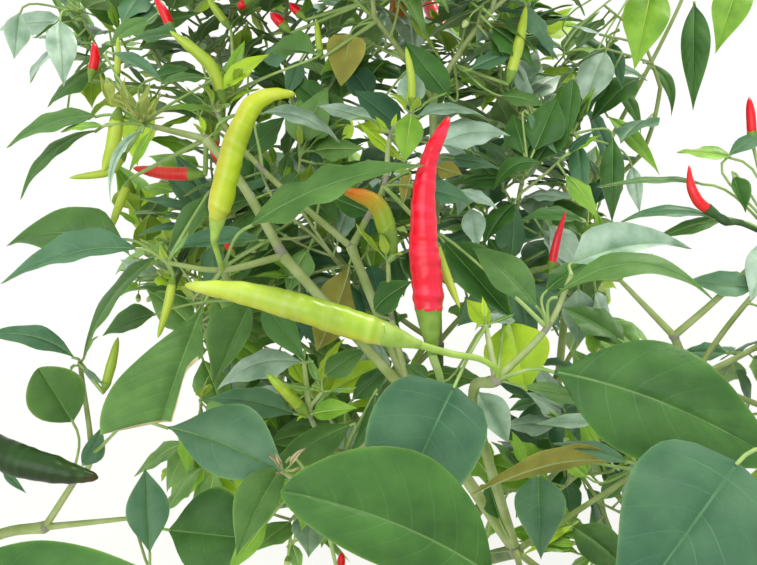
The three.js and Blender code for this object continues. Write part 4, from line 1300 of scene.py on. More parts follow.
# A pod's calyx cup: how far its rim comes down and how deep its teeth are, as shares of the
# radius. Lumps and folds follow the pod's length, FOLDS folds to each wave of it.
CUP_RIM = 0.45
CUP_TEETH = 5
CUP_TOOTH = 0.15
FOLDS = 13


class PodLook:
    """How a pod looks: its finish, how lumpy it is, how long its calyx cup is and how thick its
    stalk as shares of its radius, its sides and the step from ring to ring, how folded it is,
    the radius along its body, its cup's finish, and a share that makes it slimmer."""

    def __init__(self, finish, lumps=0.05, cup=1.9, neck=0.3, sides=14, step=1.6, folds=0.012,
                 body=POD_BODY, cup_finish="calyx", slim=1):
        self.finish = finish
        self.lumps = lumps
        self.cup = cup
        self.neck = neck
        self.sides = sides
        self.step = step
        self.folds = folds
        self.body = body
        self.cup_finish = cup_finish
        self.slim = slim


def pod(body, cup, route, line, radius, look):
    """A pod on a line from its calyx to its tip, its calyx cup, and its stalk along a route."""
    calyx = line[0]
    radius *= look.slim
    centres = smooth_line(line, look.step)
    last = len(centres) - 1
    radii = [radius * eased(look.body, i / last) for i in range(last + 1)]
    phase = calyx.x + calyx.y
    waves = (line[-1] - calyx).length / radius * 0.5

    def lumpy(share, angle):
        at = Vector((share * waves, 0.6 * math.cos(angle), 0.6 * math.sin(angle) + phase))
        swell = noise.noise(at) + 0.35 * noise.noise(at * 2.6)
        fold = math.sin(share * waves * FOLDS + 3.2 * noise.noise(at * 0.8))
        return 1 + look.lumps * swell + look.folds * fold

    loft(body, centres, radii, look.sides, look.finish, lumpy)
    back = (calyx - centres[2]).normalized()
    rings = [(look.cup, look.neck), (0.78 * look.cup, look.neck + 0.1), (0.5 * look.cup, 0.64),
             (0.25 * look.cup, 0.82), (0, 0.93), (-CUP_RIM, 1.02), (-CUP_RIM - 0.06, 0.6)]
    radius *= look.body[0][1] / POD_BODY[0][1]
    cup_line = [calyx + back * radius * far for far, _ in rings]
    cup_sides = 4 * CUP_TEETH
    base = loft(cup, cup_line, [radius * wide for _, wide in rings], cup_sides, look.cup_finish)
    rim = base + (len(rings) - 2) * cup_sides
    for k in range(cup_sides):
        tooth = CUP_TOOTH * radius * math.cos(CUP_TEETH * math.tau * k / cup_sides)
        cup.corners[rim + k] -= back * tooth
    stem = smooth_line([*route, cup_line[0], cup_line[1]], 2.5)
    thin = [between(1.0, look.neck * radius, (i / len(stem)) ** 1.6) for i in range(len(stem))]
    stem_finish = "stalk" if look.cup_finish == "calyx" else look.cup_finish
    loft(cup, stem, thin, max(look.sides // 2, 6), stem_finish)


# A bud's stalk, how far it nods, where it bends and how far its head is beyond, as shares of its
# size, and its cup and petals as (mm from the end of its stalk, radius).
BUD_STALK = 0.45
BUD_NOD = 0.5
BUD_NECK = 0.55
BUD_HEAD = 0.22
BUD_CUP = [(0, 0.5), (1.4, 1.35), (2.6, 1.5)]
BUD_PETALS = [(1.6, 1.2), (3, 1.7), (4.4, 1.35), (5.6, 0.4)]


def bud(cup, petals, root, out, size):
    """A flower bud that nods on its thin stalk."""
    nod = (out - UP * BUD_NOD).normalized()
    neck = root + out * size * BUD_NECK
    head = neck + nod * size * BUD_HEAD
    line = smooth_line([root, neck, head], 2)
    loft(cup, line, [BUD_STALK] * len(line), 5, "stalk")
    for skin, rings, finish in ((cup, BUD_CUP, "calyx"), (petals, BUD_PETALS, "petal")):
        centres = [head + nod * far for far, _ in rings]
        loft(skin, centres, [wide for _, wide in rings], 8, finish)


# Finishes: two colours that mix in soft patches, the range of roughness, the size of the patches
# and of the relief in mm, how strong the relief is, and the clear coat.
FINISHES = {
  "leaf_deep": ("355e24", "487530", 0.4, 0.54, 14, 1.6, 0.35, 0),
  "leaf_mid": ("466c30", "5b823d", 0.42, 0.56, 14, 1.6, 0.35, 0),
  # Its bluish tint is partly a painted sky sheen, partly the leaf's own colour.
  "leaf_blue": ("46724c", "628862", 0.38, 0.52, 16, 1.6, 0.35, 0),
  "leaf_dusk": ("345e40", "4a724e", 0.56, 0.68, 16, 1.6, 0.35, 0),
  # Partly painted sunlight and light shining through: the bright yellow-green of the next two
  # kinds, besides the real colour of young leaves.
  "leaf_fresh": ("6c9a2e", "8cb73c", 0.38, 0.5, 12, 1.5, 0.3, 0),
  "leaf_lime": ("9dc024", "b8d436", 0.38, 0.5, 12, 1.5, 0.3, 0),
  # A painted reflection of the sky: the pale grey-green of this kind of leaf, and of its veins and
  # rib further down.
  "leaf_wet": ("7f9e80", "b4cab3", 0.36, 0.5, 10, 1.6, 0.35, 0.12),
  "leaf_olive": ("86923a", "a4ac50", 0.4, 0.54, 10, 1.5, 0.3, 0),
  "leaf_soft": ("668f48", "86ad60", 0.42, 0.56, 12, 1.5, 0.3, 0),
  "vein_dusk": ("3c6648", "527a56", 0.56, 0.68, 14, 1.6, 0.2, 0),
  "vein_wet": ("93ae93", "b8ccb6", 0.4, 0.54, 10, 1.6, 0.2, 0.08),
  "vein_deep": ("3e6832", "507c40", 0.36, 0.5, 14, 1.6, 0.2, 0),
  "vein_mid": ("4e7a38", "628e46", 0.38, 0.52, 14, 1.6, 0.2, 0),
  "vein_blue": ("527c58", "6c926e", 0.36, 0.5, 14, 1.6, 0.2, 0),
  "vein_fresh": ("78a43c", "94be4c", 0.38, 0.5, 12, 1.5, 0.2, 0),
  "vein_lime": ("a6c63a", "c0da4e", 0.38, 0.5, 12, 1.5, 0.2, 0),
  "rib_wet": ("9db594", "b9cbae", 0.42, 0.56, 10, 1.2, 0.2, 0),
  "rib_green": ("6f9254", "86a66a", 0.4, 0.55, 10, 1.2, 0.2, 0),
  "rib_dusk": ("557e5a", "6b906c", 0.5, 0.6, 10, 1.2, 0.2, 0),
  "rib_lime": ("b3c86c", "c6d884", 0.4, 0.55, 10, 1.2, 0.2, 0),
  "rib_under": ("9aab74", "b0bf88", 0.5, 0.65, 10, 1.2, 0.2, 0),
  "under_olive": ("949c4c", "b0b468", 0.5, 0.66, 10, 1.3, 0.4, 0),
  "under_pale": ("6c8a50", "82a062", 0.55, 0.7, 12, 1.3, 0.4, 0),
  # Partly painted light shining through the leaf: this lower skin's bright yellow-green.
  "under_lime": ("94b034", "aec648", 0.55, 0.7, 12, 1.3, 0.4, 0),
  "under_tan": ("8c8838", "a8a24c", 0.55, 0.72, 12, 1.3, 0.4, 0),
  "torn": ("a09468", "c4b88c", 0.6, 0.75, 4, 0.8, 0.4, 0),
  "withered": ("6e5236", "96744a", 0.6, 0.8, 3, 0.7, 0.5, 0),
  "bark": ("4d4232", "85765a", 0.75, 0.95, 7, 1.4, 0.8, 0),
  "bough": ("556b3a", "788a52", 0.55, 0.75, 8, 1.2, 0.5, 0),
  "stem": ("90a259", "aebb7e", 0.42, 0.58, 9, 1.0, 0.3, 0),
  "node": ("86866e", "9f9c86", 0.5, 0.65, 6, 1.0, 0.3, 0),
  "stalk": ("86a455", "a4bd72", 0.42, 0.58, 9, 1.0, 0.25, 0),
  "calyx": ("67882f", "83a243", 0.4, 0.54, 5, 0.9, 0.35, 0),
  "calyx_light": ("8bab42", "a4c05a", 0.36, 0.5, 5, 0.9, 0.3, 0),
  "calyx_dark": ("2c4522", "3f5f30", 0.34, 0.48, 5, 0.9, 0.3, 0),
  "pod_green": ("8fac2e", "a8c23a", 0.26, 0.38, 18, 2.5, 0.15, 0.26),
  "pod_lime": ("a3bc34", "bccd4a", 0.26, 0.38, 18, 2.5, 0.15, 0.2),
  "pod_red": ("de0410", "f01220", 0.22, 0.32, 18, 2.5, 0.12, 0.28),
  "pod_orange": ("cf611a", "de8a2c", 0.26, 0.36, 14, 2.5, 0.12, 0.15),
  "pod_dark": ("1b2f12", "2c441e", 0.3, 0.4, 14, 2.5, 0.15, 0.06),
  "petal": ("b9c884", "d4deaa", 0.5, 0.65, 5, 0.8, 0.2, 0),
}

# Each kind of leaf: its upper skin with its side veins and midrib, and its lower skin and rib.
# The pale grey-green kind, with its veins and rib, is a painted reflection of the sky. The
# bluish tint of blue is partly a painted sky sheen. The bright yellow-green of lime and fresh,
# and of their lower skin, is partly painted sunlight and light shining through, besides the
# real colour of young leaves.
KINDS = {
  "deep": ("leaf_deep", "vein_deep", "rib_green", "under_pale", "rib_under"),
  "mid": ("leaf_mid", "vein_mid", "rib_green", "under_pale", "rib_under"),
  "blue": ("leaf_blue", "vein_blue", "rib_green", "under_pale", "rib_under"),
  "dusk": ("leaf_dusk", "vein_dusk", "rib_dusk", "under_pale", "rib_under"),
  "soft": ("leaf_soft", "vein_fresh", "rib_lime", "under_lime", "rib_under"),
  "fresh": ("leaf_fresh", "vein_fresh", "rib_lime", "under_lime", "rib_under"),
  "lime": ("leaf_lime", "vein_lime", "rib_lime", "under_lime", "rib_lime"),
  "olive": ("leaf_olive", "leaf_olive", "rib_lime", "under_olive", "rib_lime"),
  "withered": ("torn", "withered", "withered", "withered", "torn"),
  "wet": ("leaf_wet", "vein_wet", "rib_wet", "under_pale", "rib_under"),
  "tan": ("leaf_mid", "vein_mid", "rib_green", "under_tan", "rib_under"),
}

# The kinds that the sprays of grown leaves are dealt out by: in boxes of the picture as (left,
# top, right, bottom), and elsewhere.
SPRAYS_SHOWN = [
  [(470, -60, 680, 230), ["blue", "dusk", "wet", "deep", "blue", "blue", "mid", "dusk", "wet"]],
  [(-60, -60, 250, 120), ["wet", "fresh", "mid", "blue", "lime", "wet", "soft"]],
  [(250, 20, 470, 300), ["deep", "blue", "mid", "soft", "dusk", "wet", "fresh", "deep", "tan"]],
]
SPRAYS = (["mid"] * 5 + ["soft"] * 4 + ["deep"] + ["blue"] * 4 + ["fresh"] * 5 + ["wet"] * 4
          + ["lime"] * 2)

# How smooth the clear coats are, how strongly skins mirror, where soft patches are all dark or
# all light, how deep a relief is as a share of its grain, how light spreads within a leaf, how
# many paler bands of painted highlight a large pod has, and how sharp a bend in a skin shows as
# an edge.
COAT_ROUGHNESS = 0.25
SPECULAR = 0.28
WET_SPECULAR = 0.5
PATCH_DARK = 0.34
PATCH_LIGHT = 0.66
RELIEF_DEPTH = 0.25
LEAF_GLOW = {
  "Subsurface Weight": 0.4,
  "Subsurface Radius": (0.7, 1, 0.3),
  "Subsurface Scale": 0.8 * METRES,
}
HIGHLIGHT_BANDS = 15
SHARP = math.radians(70)
materials = {}


def linear(code):
    """A colour in linear light from its six hex digits."""
    shares = [int(code[i:i + 2], 16) / 255 for i in (0, 2, 4)]
    return [s / 12.92 if s <= 0.04045 else ((s + 0.055) / 1.055) ** 2.4 for s in shares] + [1]


def add_node(tree, kind, settings, joined):
    """A new node, with some inputs set and some joined to other nodes' outputs."""
    made = tree.nodes.new(kind)
    for name, value in settings.items():
        made.inputs[name].default_value = value
    for name, output in joined.items():
        tree.links.new(output, made.inputs[name])
    return made


def ramp(tree, share, stops):
    """The colour that a share turns into, by stops of [share, colour]."""
    made = add_node(tree, "ShaderNodeValToRGB", {}, {"Fac": share})
    elements = made.color_ramp.elements
    while len(elements) < len(stops):
        elements.new(0.5)
    for element, (at, code) in zip(elements, stops):
        element.position = at
        element.color = linear(code)
    return made.outputs["Color"]


def finish_material(finish):
    """The material of a finish, made once."""
    if finish not in materials:
        materials[finish] = new_material(finish, finish)
    return materials[finish]


def new_material(name, finish):
    """A material in two shades that mix in soft patches, with a fine relief."""
    dark, light, smooth, rough, patch, grain, relief, coat = FINISHES[finish]
    made = bpy.data.materials.new(name)
    made.use_nodes = True
    tree = made.node_tree
    shader = tree.nodes["Principled BSDF"].inputs
    shader["Coat Weight"].default_value = coat
    shader["Coat Roughness"].default_value = COAT_ROUGHNESS
    shader["Specular IOR Level"].default_value = WET_SPECULAR if finish == "leaf_wet" else SPECULAR
    if finish.startswith(("leaf", "vein", "under", "rib")):
        for socket, value in LEAF_GLOW.items():
            shader[socket].default_value = value
    where = {"Vector": tree.nodes.new("ShaderNodeTexCoord").outputs["Object"]}
    wide = {"Scale": 1 / (patch * METRES), "Detail": 4}
    patches = add_node(tree, "ShaderNodeTexNoise", wide, where)
    patches.name = "patches"
    share = patches.outputs["Fac"]
    colour = ramp(tree, share, [(PATCH_DARK, dark), (PATCH_LIGHT, light)])
    tree.links.new(colour, shader["Base Color"])
    span = {"From Min": 0.3, "From Max": 0.7, "To Min": smooth, "To Max": rough}
    gloss = add_node(tree, "ShaderNodeMapRange", span, {"Value": share})
    tree.links.new(gloss.outputs["Result"], shader["Roughness"])
    narrow = {"Scale": 1 / (grain * METRES), "Detail": 2}
    fine = add_node(tree, "ShaderNodeTexNoise", narrow, where)
    height = {"Strength": relief, "Distance": RELIEF_DEPTH * grain * METRES}
    bump = add_node(tree, "ShaderNodeBump", height, {"Height": fine.outputs["Fac"]})
    tree.links.new(bump.outputs["Normal"], shader["Normal"])
    return made


def mixed(tree, share, first, second, blend="MIX"):
    """The mix of two colours, either of them a code or a node's output."""
    made = tree.nodes.new("ShaderNodeMix")
    made.data_type = "RGBA"
    made.blend_type = blend
    sockets = {socket.identifier: socket for socket in made.inputs}
    for name, value in (("Factor_Float", share), ("A_Color", first), ("B_Color", second)):
        if isinstance(value, str):
            sockets[name].default_value = linear(value)
        elif isinstance(value, int):
            sockets[name].default_value = value
        else:
            tree.links.new(value, sockets[name])
    return next(s for s in made.outputs if s.identifier == "Result_Color")


def vector_sum(tree, operation, first, second):
    """The outputs of a sum with a node's vector and a fixed one."""
    made = tree.nodes.new("ShaderNodeVectorMath")
    made.operation = operation
    made.inputs[1].default_value = second
    tree.links.new(first, made.inputs[0])
    return made.outputs


def graded_material(name, line, stops, way, side_colour, highlight_band):
    """A pod's own material: its colours run from the calyx to the tip, it turns to another colour
    on one side, in soft patches, and has paler bands across. On the red pods and the dark pod the
    side colour is a painted highlight, and on every pod the paler bands are painted highlights
    across its folds."""
    made = new_material(name + "_skin", POD_LOOKS[name].finish)
    tree = made.node_tree
    along = (line[-1] - line[0]) * METRES
    where = tree.nodes.new("ShaderNodeTexCoord").outputs
    offset = vector_sum(tree, "SUBTRACT", where["Object"], line[0] * METRES)["Vector"]
    share = vector_sum(tree, "DOT_PRODUCT", offset, along / along.length_squared)["Value"]
    facing = vector_sum(tree, "DOT_PRODUCT", where["Normal"], way)["Value"]
    span = {"From Min": -0.2, "From Max": 0.9, "To Max": 0.8}
    side = add_node(tree, "ShaderNodeMapRange", span, {"Value": facing}).outputs["Result"]
    # On the red pods and the dark pod this side colour is a painted highlight.
    colour = mixed(tree, side, ramp(tree, share, stops), side_colour)
    # Paler bands across the pod: painted highlights on its folds.
    across = add_node(tree, "ShaderNodeTexNoise", {"Scale": HIGHLIGHT_BANDS, "Detail": 1}, {})
    across.noise_dimensions = "1D"
    tree.links.new(share, across.inputs["W"])
    span = {"From Min": 0.5, "From Max": 0.68, "To Max": 0.34}
    pale = add_node(tree, "ShaderNodeMapRange", span, {"Value": across.outputs["Fac"]})
    colour = mixed(tree, pale.outputs["Result"], colour, highlight_band)
    patch = ramp(tree, tree.nodes["patches"].outputs["Fac"], [(0.35, "dcdcdc"), (0.65, "ffffff")])
    colour = mixed(tree, 1, colour, patch, "MULTIPLY")
    tree.links.new(colour, tree.nodes["Principled BSDF"].inputs["Base Color"])
    return made


def add_object(name, data):
    made = bpy.data.objects.new(name, data)
    bpy.context.collection.objects.link(made)
    return made


def make_piece(name, skin, replaced):
    """The mesh object of a skin, riding on the plant's one body in place of solids."""
    mesh = bpy.data.meshes.new(name)
    mesh.from_pydata([tuple(corner * METRES) for corner in skin.corners], [], skin.faces)
    finishes = sorted(set(skin.finishes))
    for finish in finishes:
        mesh.materials.append(finish_material(finish))
    number = {finish: i for i, finish in enumerate(finishes)}
    mesh.polygons.foreach_set("material_index", [number[finish] for finish in skin.finishes])
    mesh.shade_smooth()
    mesh.set_sharp_from_angle(angle=SHARP)
    made = add_object(name, mesh)
    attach(made, "root")
    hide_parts(*replaced)
    return made


# The stem, boughs and branches, which run on through their forks. A node swells the limb, and
# the limb runs on past its last place by a share of its radius. Its node's finish reaches
# NODE_LENGTH times its radius and 1 mm.
RIDGES = 5
RING_STEP = 2.5
NODE_SWELL = 0.22
NODE_REACH = 1.4
NODE_LENGTH = 1.2
RUN_ON = 0.8
RUN_ON_RADIUS = 0.85
LIMB_SIDES = 20
RIDGE_DEPTH = 0.05
UNEVEN = 0.04

# The trunk's rings, how soon its flare ends as a share of the flare's height, how far it swells
# at its top, and the relief of the long and the short cracks in its bark.
TRUNK_SIDES = 56
TRUNK_STEP = 1.4
FLARE_END = 0.33
TOP_SWELL = 0.12
LONG_CRACKS = 0.1
SHORT_CRACKS = 0.05


def limb_rings(route, first, last):
    """A limb's line, and its radii with the swellings at its ends."""
    line = smooth_line([PLACES[name] for name in route], RING_STEP)
    count = len(line) - 1
    radii = []
    for i, centre in enumerate(line):
        radius = between(first, last, i / count)
        for end in (line[0], line[-1]):
            gap = (centre - end).length / (NODE_REACH * radius)
            radius *= 1 + NODE_SWELL * math.exp(-gap * gap)
        radii.append(radius)
    out = (line[-1] - line[-2]).normalized()
    return line + [line[-1] + out * last * RUN_ON], radii + [last * RUN_ON_RADIUS]


def limb(skin, route, first, last, finish):
    """A ribbed green limb with purple-grey nodes at its ends."""
    line, radii = limb_rings(route, first, last)
    reach = NODE_LENGTH * last + 1
    ends = (line[0], line[-1])
    finishes = ["node" if min((p - q).length for q in ends) < reach else finish for p in line]

    def ribbed(share, angle):
        uneven = noise.noise(Vector((share * 30, angle, 0)))
        return 1 + RIDGE_DEPTH * math.cos(RIDGES * angle) + UNEVEN * uneven

    loft(skin, line, radii, LIMB_SIDES, finishes, ribbed)


def trunk(skin):
    """The woody main stem, with its flare at the foot and its bark in relief."""
    route, first, last = LIMBS["main_stem"]
    line, _ = limb_rings(route, first, last)
    dense = smooth_line(line, TRUNK_STEP)
    count = len(dense) - 1
    wide = []
    for i, centre in enumerate(dense):
        radius = between(first, last, i / count)
        flare = (STEM_FLARE - 1) * math.exp(-centre.z / (FLARE_END * STEM_FLARE_HEIGHT))
        swell = TOP_SWELL * math.exp(-(((i - count) / 5) ** 2))
        wide.append(radius * (1 + flare) * (1 + swell))

    def bark(share, angle):
        around = Vector((math.cos(angle), math.sin(angle), 0))
        long_cracks = noise.noise(around * 3.2 + UP * share * 7)
        short_cracks = noise.noise(around * 6.5 + UP * share * 30)
        return 0.97 + LONG_CRACKS * abs(long_cracks) ** 0.7 + SHORT_CRACKS * short_cracks

    loft(skin, dense, wide, TRUNK_SIDES, "bark", bark)
    for corner in skin.corners:
        corner.z = max(corner.z, 0)


def bowed(start, end, way, bow):
    """Points from start to end that bow out by a share of the length."""
    length = (end - start).length
    side = way * length * bow
    return [start.lerp(end, t) + side * math.sin(math.pi * t) for t in (0, 0.25, 0.5, 0.75, 1)]


trunk_skin = Skin()
trunk(trunk_skin)
make_piece("trunk", trunk_skin, ["main_stem"])

# The finishes of the lower limbs, and a bend that only the drawn limb has.
WOODY = {
  "upper_stem": "bark",
  "bough_left": "bough",
  "bough_front": "bough",
  "bough_centre": "bough",
  "bough_back_left": "bough",
  "bough_back_right": "bough",
}
DRAWN_BENDS = {"branch_low_left": "low_left_bend"}
branches = Skin()
for name, (route, first, last) in LIMBS.items():
    if name in DRAWN_BENDS:
        route = [route[0], DRAWN_BENDS[name], *route[1:]]
    line, radii = limb_rings(route, first, last)
    stand(rough_tube(line, radii, 6))
    if name != "main_stem":
        limb(branches, route, first, last, WOODY.get(name, "stem"))
make_piece("branches", branches, [name for name in LIMBS if name != "main_stem"])

# What the picture shows, leaf by leaf.
POD_LOOKS = {
  "pod_long_green": PodLook("pod_green", 0.12, 2.7, 0.34, 28, 0.8, 0.012, LONG_BODY, "calyx_light"),
  "pod_red_upright": PodLook("pod_red", 0.12, 3.0, 0.36, 28, 0.6, 0.03, SLENDER),
  "pod_curved_green": PodLook("pod_green", 0.12, 2.2, 0.42, 28, 0.8, 0.02, NARROW_NECK,
                              "calyx_light"),
  "pod_orange": PodLook("pod_orange", 0.05, 1.9, 0.36, 22, 1.3),
  "pod_red_level": PodLook("pod_red", 0.05, 1.9, 0.4, 18, 1.3),
  "pod_red_small": PodLook("pod_red", 0.05, 1.9, 0.4, 18, 1.3, body=TAPERED, slim=0.7),
  "pod_red_edge": PodLook("pod_red", 0.05, 3.8, 0.7, 18, 1.3, 0.012, TAPERED, "calyx_dark", 0.72),
  "pod_dark": PodLook("pod_dark", 0.14, 1.8, 0.36, 24, 1.0, cup_finish="calyx_dark", slim=1.08),
  "pod_lime_low": PodLook("pod_lime", 0.1, 1.6, 0.4, 20, 1.0, 0.02, slim=0.84),
}

# Each large pod's colours from its calyx to its tip, the way in which it turns to another
# colour, that colour, and the colour of its bands. On the red pods and the dark pod that colour
# is a painted highlight, lighter on their top or one side, and the paler bands of every pod are
# painted highlights across its folds.
POD_SHADES = {
  "pod_long_green": (
    [(0, "7ea034"), (0.08, "a4c638"), (0.5, "b4d23e"), (1, "cadb50")],
    (0.15, 0, -1), "e0d23c", "d3e07a",
  ),
  "pod_red_upright": (
    [(0, "f0102c"), (0.4, "fa0828"), (1, "ee0a26")],
    (1, 0, 0), "fc2a48", "ff4468",
  ),
  "pod_curved_green": (
    [(0, "a6b232"), (0.1, "b6c62c"), (0.3, "b0ca20"), (0.7, "b4cc1e"), (1, "c8d83a")],
    (-1, 0, 0.2), "d6ca38", "d6de62",
  ),
  "pod_orange": (
    [(0, "7fae2c"), (0.3, "a4bc2c"), (0.55, "e2b426"), (0.8, "f28a24"), (1, "ea5a1e")],
    (0, 0, -1), "cfc02c", "c4d050",
  ),
  "pod_red_level": ([(0, "f41418"), (1, "f22a1c")], (0, 0, 1), "f8523c", "fa5a44"),
  "pod_red_small": ([(0, "ee0a24"), (1, "f20c26")], (0, 0, 1), "f42a3a", "f43a4a"),
  "pod_red_edge": ([(0, "ee1018"), (1, "f81a20")], (-1, 0, 0), "fa3236", "fa4440"),
  "pod_dark": (
    [(0, "18290a"), (0.5, "182c0a"), (0.85, "25300e"), (1, "54301c")],
    (0, 0, 1), "2c5016", "2c5a18",
  ),
  "pod_lime_low": (
    [(0, "98b832"), (0.5, "b4d034"), (1, "a8d038")],
    (0, 0, -1), "d4a83a", "cfe05a",
  ),
}

# The colours of the small pods: in the masses that the picture shows, and of grown ones as
# [share up to which a draw gives it, colour].
SMALL_COLOURS = {
  "foliage_left": "lime",
  "foliage_apex": "lime",
  "foliage_upper_left": "lime",
  "foliage_centre": "lime",
  "foliage_low_left": "green",
  "foliage_right_edge": "red",
}
GROWN_COLOURS = [(0.4, "red"), (0.75, "green"), (0.92, "lime"), (1, "orange")]
SHOWN_SLIM = 0.88
GROWN_SLIM = 0.95
SHOWN_EASE = 0.6

# The detail of a shown leaf by its length, its stalk's radius up to that of a long leaf, the
# twigs' sides, swelling and nodes, and the rough radius of a large pod's stalk.
DETAILS = [(62, LARGE_LEAF), (30, MIDDLE_LEAF), (0, SMALL_LEAF)]
STALK_RADIUS = (0.55, 0.78)
LONG_LEAF = 80
TWIG_SIDES = 12
TWIG_SWELL = 1.1
TWIG_NODE = 2.2
POD_STEM = 1.5


def faced(foot, tip, turn):
    """The upper side of a blade, turned by `turn` degrees from up towards the lens, or until it
    looks at the lens."""
    along = (tip - foot).normalized()
    upward = squared(UP, along)
    towards = squared(LENS_AT - foot, along)
    way = 1 if upward.cross(towards).dot(along) >= 0 else -1
    return turned(upward, along, way * min(math.radians(turn), upward.angle(towards)))


def shown_leaf(root, foot, tip, shows, turn, kind, shape=None):
    """A leaf on its stalk, as the picture shows it."""
    blunt, end = seen(*foot), seen(*tip)
    face = faced(blunt, end, turn)
    lie = Lie(shown_draws, SHOWN_EASE)
    for name, value in (shape or {}).items():
        setattr(lie, name, value)
    halves = fitted(blunt, end, face, shows, lie)
    length = (end - blunt).length
    detail = next(detail for shortest, detail in DETAILS if length > shortest)
    thick = between(*STALK_RADIUS, min(length / LONG_LEAF, 1))
    stalk(near_leaves, root, blunt, (end - blunt).normalized(), thick, 8, "stalk")
    blade(near_leaves, blunt, end, face, halves, kind, detail, lie)
    stand(rough_blade(blunt, end, face, sum(halves)))


def small_pod(root, line, radius, colour):
    """A pod of the few plain kinds, on its twig."""
    pod(small_pods[colour], cups, [root], line, radius, PodLook("pod_" + colour))


near_leaves = Skin()
twigs = Skin()
small_pods = {colour: Skin() for colour in ("green", "lime", "red", "orange")}
cups = Skin()
petals = Skin()
shown_draws = seeded(SEED + 1)
for name, mass in SHOWN.items():
    for route in mass["twigs"]:
        points = [PLACES[place_name] for place_name in route]
        line = smooth_line(points, RING_STEP)
        count = len(line) - 1
        radii = [twig_radius(SHOOT_FORKS * (1 - i / count)) for i in range(count + 1)]
        nearest = [min((p - q).length for q in points[1:]) for p in line]
        finishes = ["node" if gap < TWIG_NODE else "stem" for gap in nearest]
        loft(twigs, line, [radius * TWIG_SWELL for radius in radii], TWIG_SIDES, finishes)
        stand(rough_tube(line[1:], radii[1:]))
    for place_name, *values in mass["leaves"]:
        shown_leaf(PLACES[place_name], *values)
    for place_name, *spots, radius in mass.get("pods", []):
        line = line_seen(spots)
        small_pod(PLACES[place_name], line, radius * SHOWN_SLIM, SMALL_COLOURS[name])
        stand(rough_tube(line, [radius] * 3))
for name, (place_name, route, spots, radius) in PODS.items():
    body = Skin()
    cup = Skin()
    stem = [PLACES[place_name], *line_seen(route)]
    line = line_seen(spots)
    pod(body, cup, stem, line, radius, POD_LOOKS[name])
    stand(rough_tube(line, [radius] * len(line)))
    stand(rough_tube([*stem, line[0]], [POD_STEM] * (len(stem) + 1)))
    made = make_piece(name + "_body", body, [name])
    made.data.materials[0] = graded_material(name, line, *POD_SHADES[name])
    make_piece(name + "_calyx", cup, [name])

# The masses that the rule grows, first as the solids have them, then finer.
draws = seeded(SEED)
masses = {name: start_mass(*grown, draws) for name, grown in GROWN.items()}
for mass in masses.values():
    fill_mass(mass)
fine_draws = seeded(FINE_SEED)
for mass in masses.values():
    for twig in [item for item in mass.grown if isinstance(item, Twig)]:
        grow_finer(mass, twig, fine_draws)
for mass in masses.values():
    fill_gaps(mass, fine_draws)

# Where the picture shows the crown: how far away its sprays have kinds of their own, the box and
# the farthest of what would stand before the leaves that hang at the upper right, and the box in
# which leaves longer than SHORTEST_CUT are shortened to between two lengths, when they are nearer
# than NEAR_END and when they are not. SHOWN_AT is where along an item the place is taken.
SPRAYS_END = 480
HANGING = (600, -100, 830, 140)
HANGING_END = 460
SHORTENED = (-40, -40, 797, 605)
SHORTENED_END = 500
SHORTEST_CUT = 40
SHORT_NEAR = (28, 38)
SHORT_FAR = (36, 48)
NEAR_END = 365
CROWN_SHOWN_END = 430
SHOWN_AT = 0.7

# How the crown is drawn: the triangles after which another piece starts, half of a blade's width
# and the length of its stalk as shares of its leaf's, how many of the young leaves are fresh, and
# the twigs' bow and sides.
MOST_TRIANGLES = 180000
CROWN_HALF = 0.53
STALK_SHARE = 0.2
FRESH_YOUNG = 0.6
TWIG_BOW = 0.04
GROWN_SIDES = 7


def spray_kind(twig, draw):
    """The kind of a grown twig's leaves: some kinds are more common in parts of the picture."""
    px, py, far = shown_at(twig.end)
    kinds = SPRAYS
    for box, common in SPRAYS_SHOWN:
        if in_box(px, py, box) and far < SPRAYS_END:
            kinds = common
    return kinds[int(draw * len(kinds))]


def is_before_hanging(item):
    """Whether a grown item stands in front of the leaves that hang at the upper right."""
    px, py, far = shown_at(item.root.lerp(item.end, SHOWN_AT))
    return in_box(px, py, HANGING) and far < HANGING_END


def left_out(mass):
    """What isn't drawn of a grown mass: what stands in front of the hanging leaves and carries
    nothing that is drawn."""
    out = set()
    carriers = set()
    for item in reversed(mass.grown):
        if is_before_hanging(item) and id(item.shape) not in carriers:
            out.add(id(item))
        else:
            carriers.add(id(item.spray))
    return out


def shown_share(leaf):
    """How much of a grown leaf's length it keeps: those that show among the pods are shorter."""
    px, py, far = shown_at(leaf.root.lerp(leaf.end, SHOWN_AT))
    is_shown = in_box(px, py, SHORTENED) and far < SHORTENED_END
    if not is_shown or leaf.size < SHORTEST_CUT:
        return 1
    lengths = SHORT_NEAR if far < NEAR_END else SHORT_FAR
    # The fraction of a mm in the distance serves as a draw.
    longest = between(*lengths, far % 1)
    return min(1, longest / leaf.size)


def is_in_picture(p):
    """Whether a point of the crown is near enough to show."""
    px, py, far = shown_at(p)
    return in_box(px, py, WHOLE) and far < CROWN_SHOWN_END


def grown_leaf(leaf, kind, draw, lie):
    """A leaf of the crown on its stalk."""
    skin = crown_leaves[-1]
    shrink = shown_share(leaf)
    end = leaf.root.lerp(leaf.end, shrink)
    foot = leaf.root.lerp(end, STALK_SHARE)
    stalk(skin, leaf.root, foot, leaf.out, 0.75, 4, "stalk", 4)
    detail = SHOWN_CROWN_LEAF if is_in_picture(leaf.end) else CROWN_LEAF
    if leaf.size < FINE_LEAF[0]:
        detail = CROWN_YOUNG
        kind = "fresh" if draw < FRESH_YOUNG else kind
    halves = [leaf.width * CROWN_HALF * shrink ** 0.85] * 2
    blade(skin, foot, end, leaf.face, halves, kind, detail, lie)
    if skin.triangles > MOST_TRIANGLES:
        crown_leaves.append(Skin())


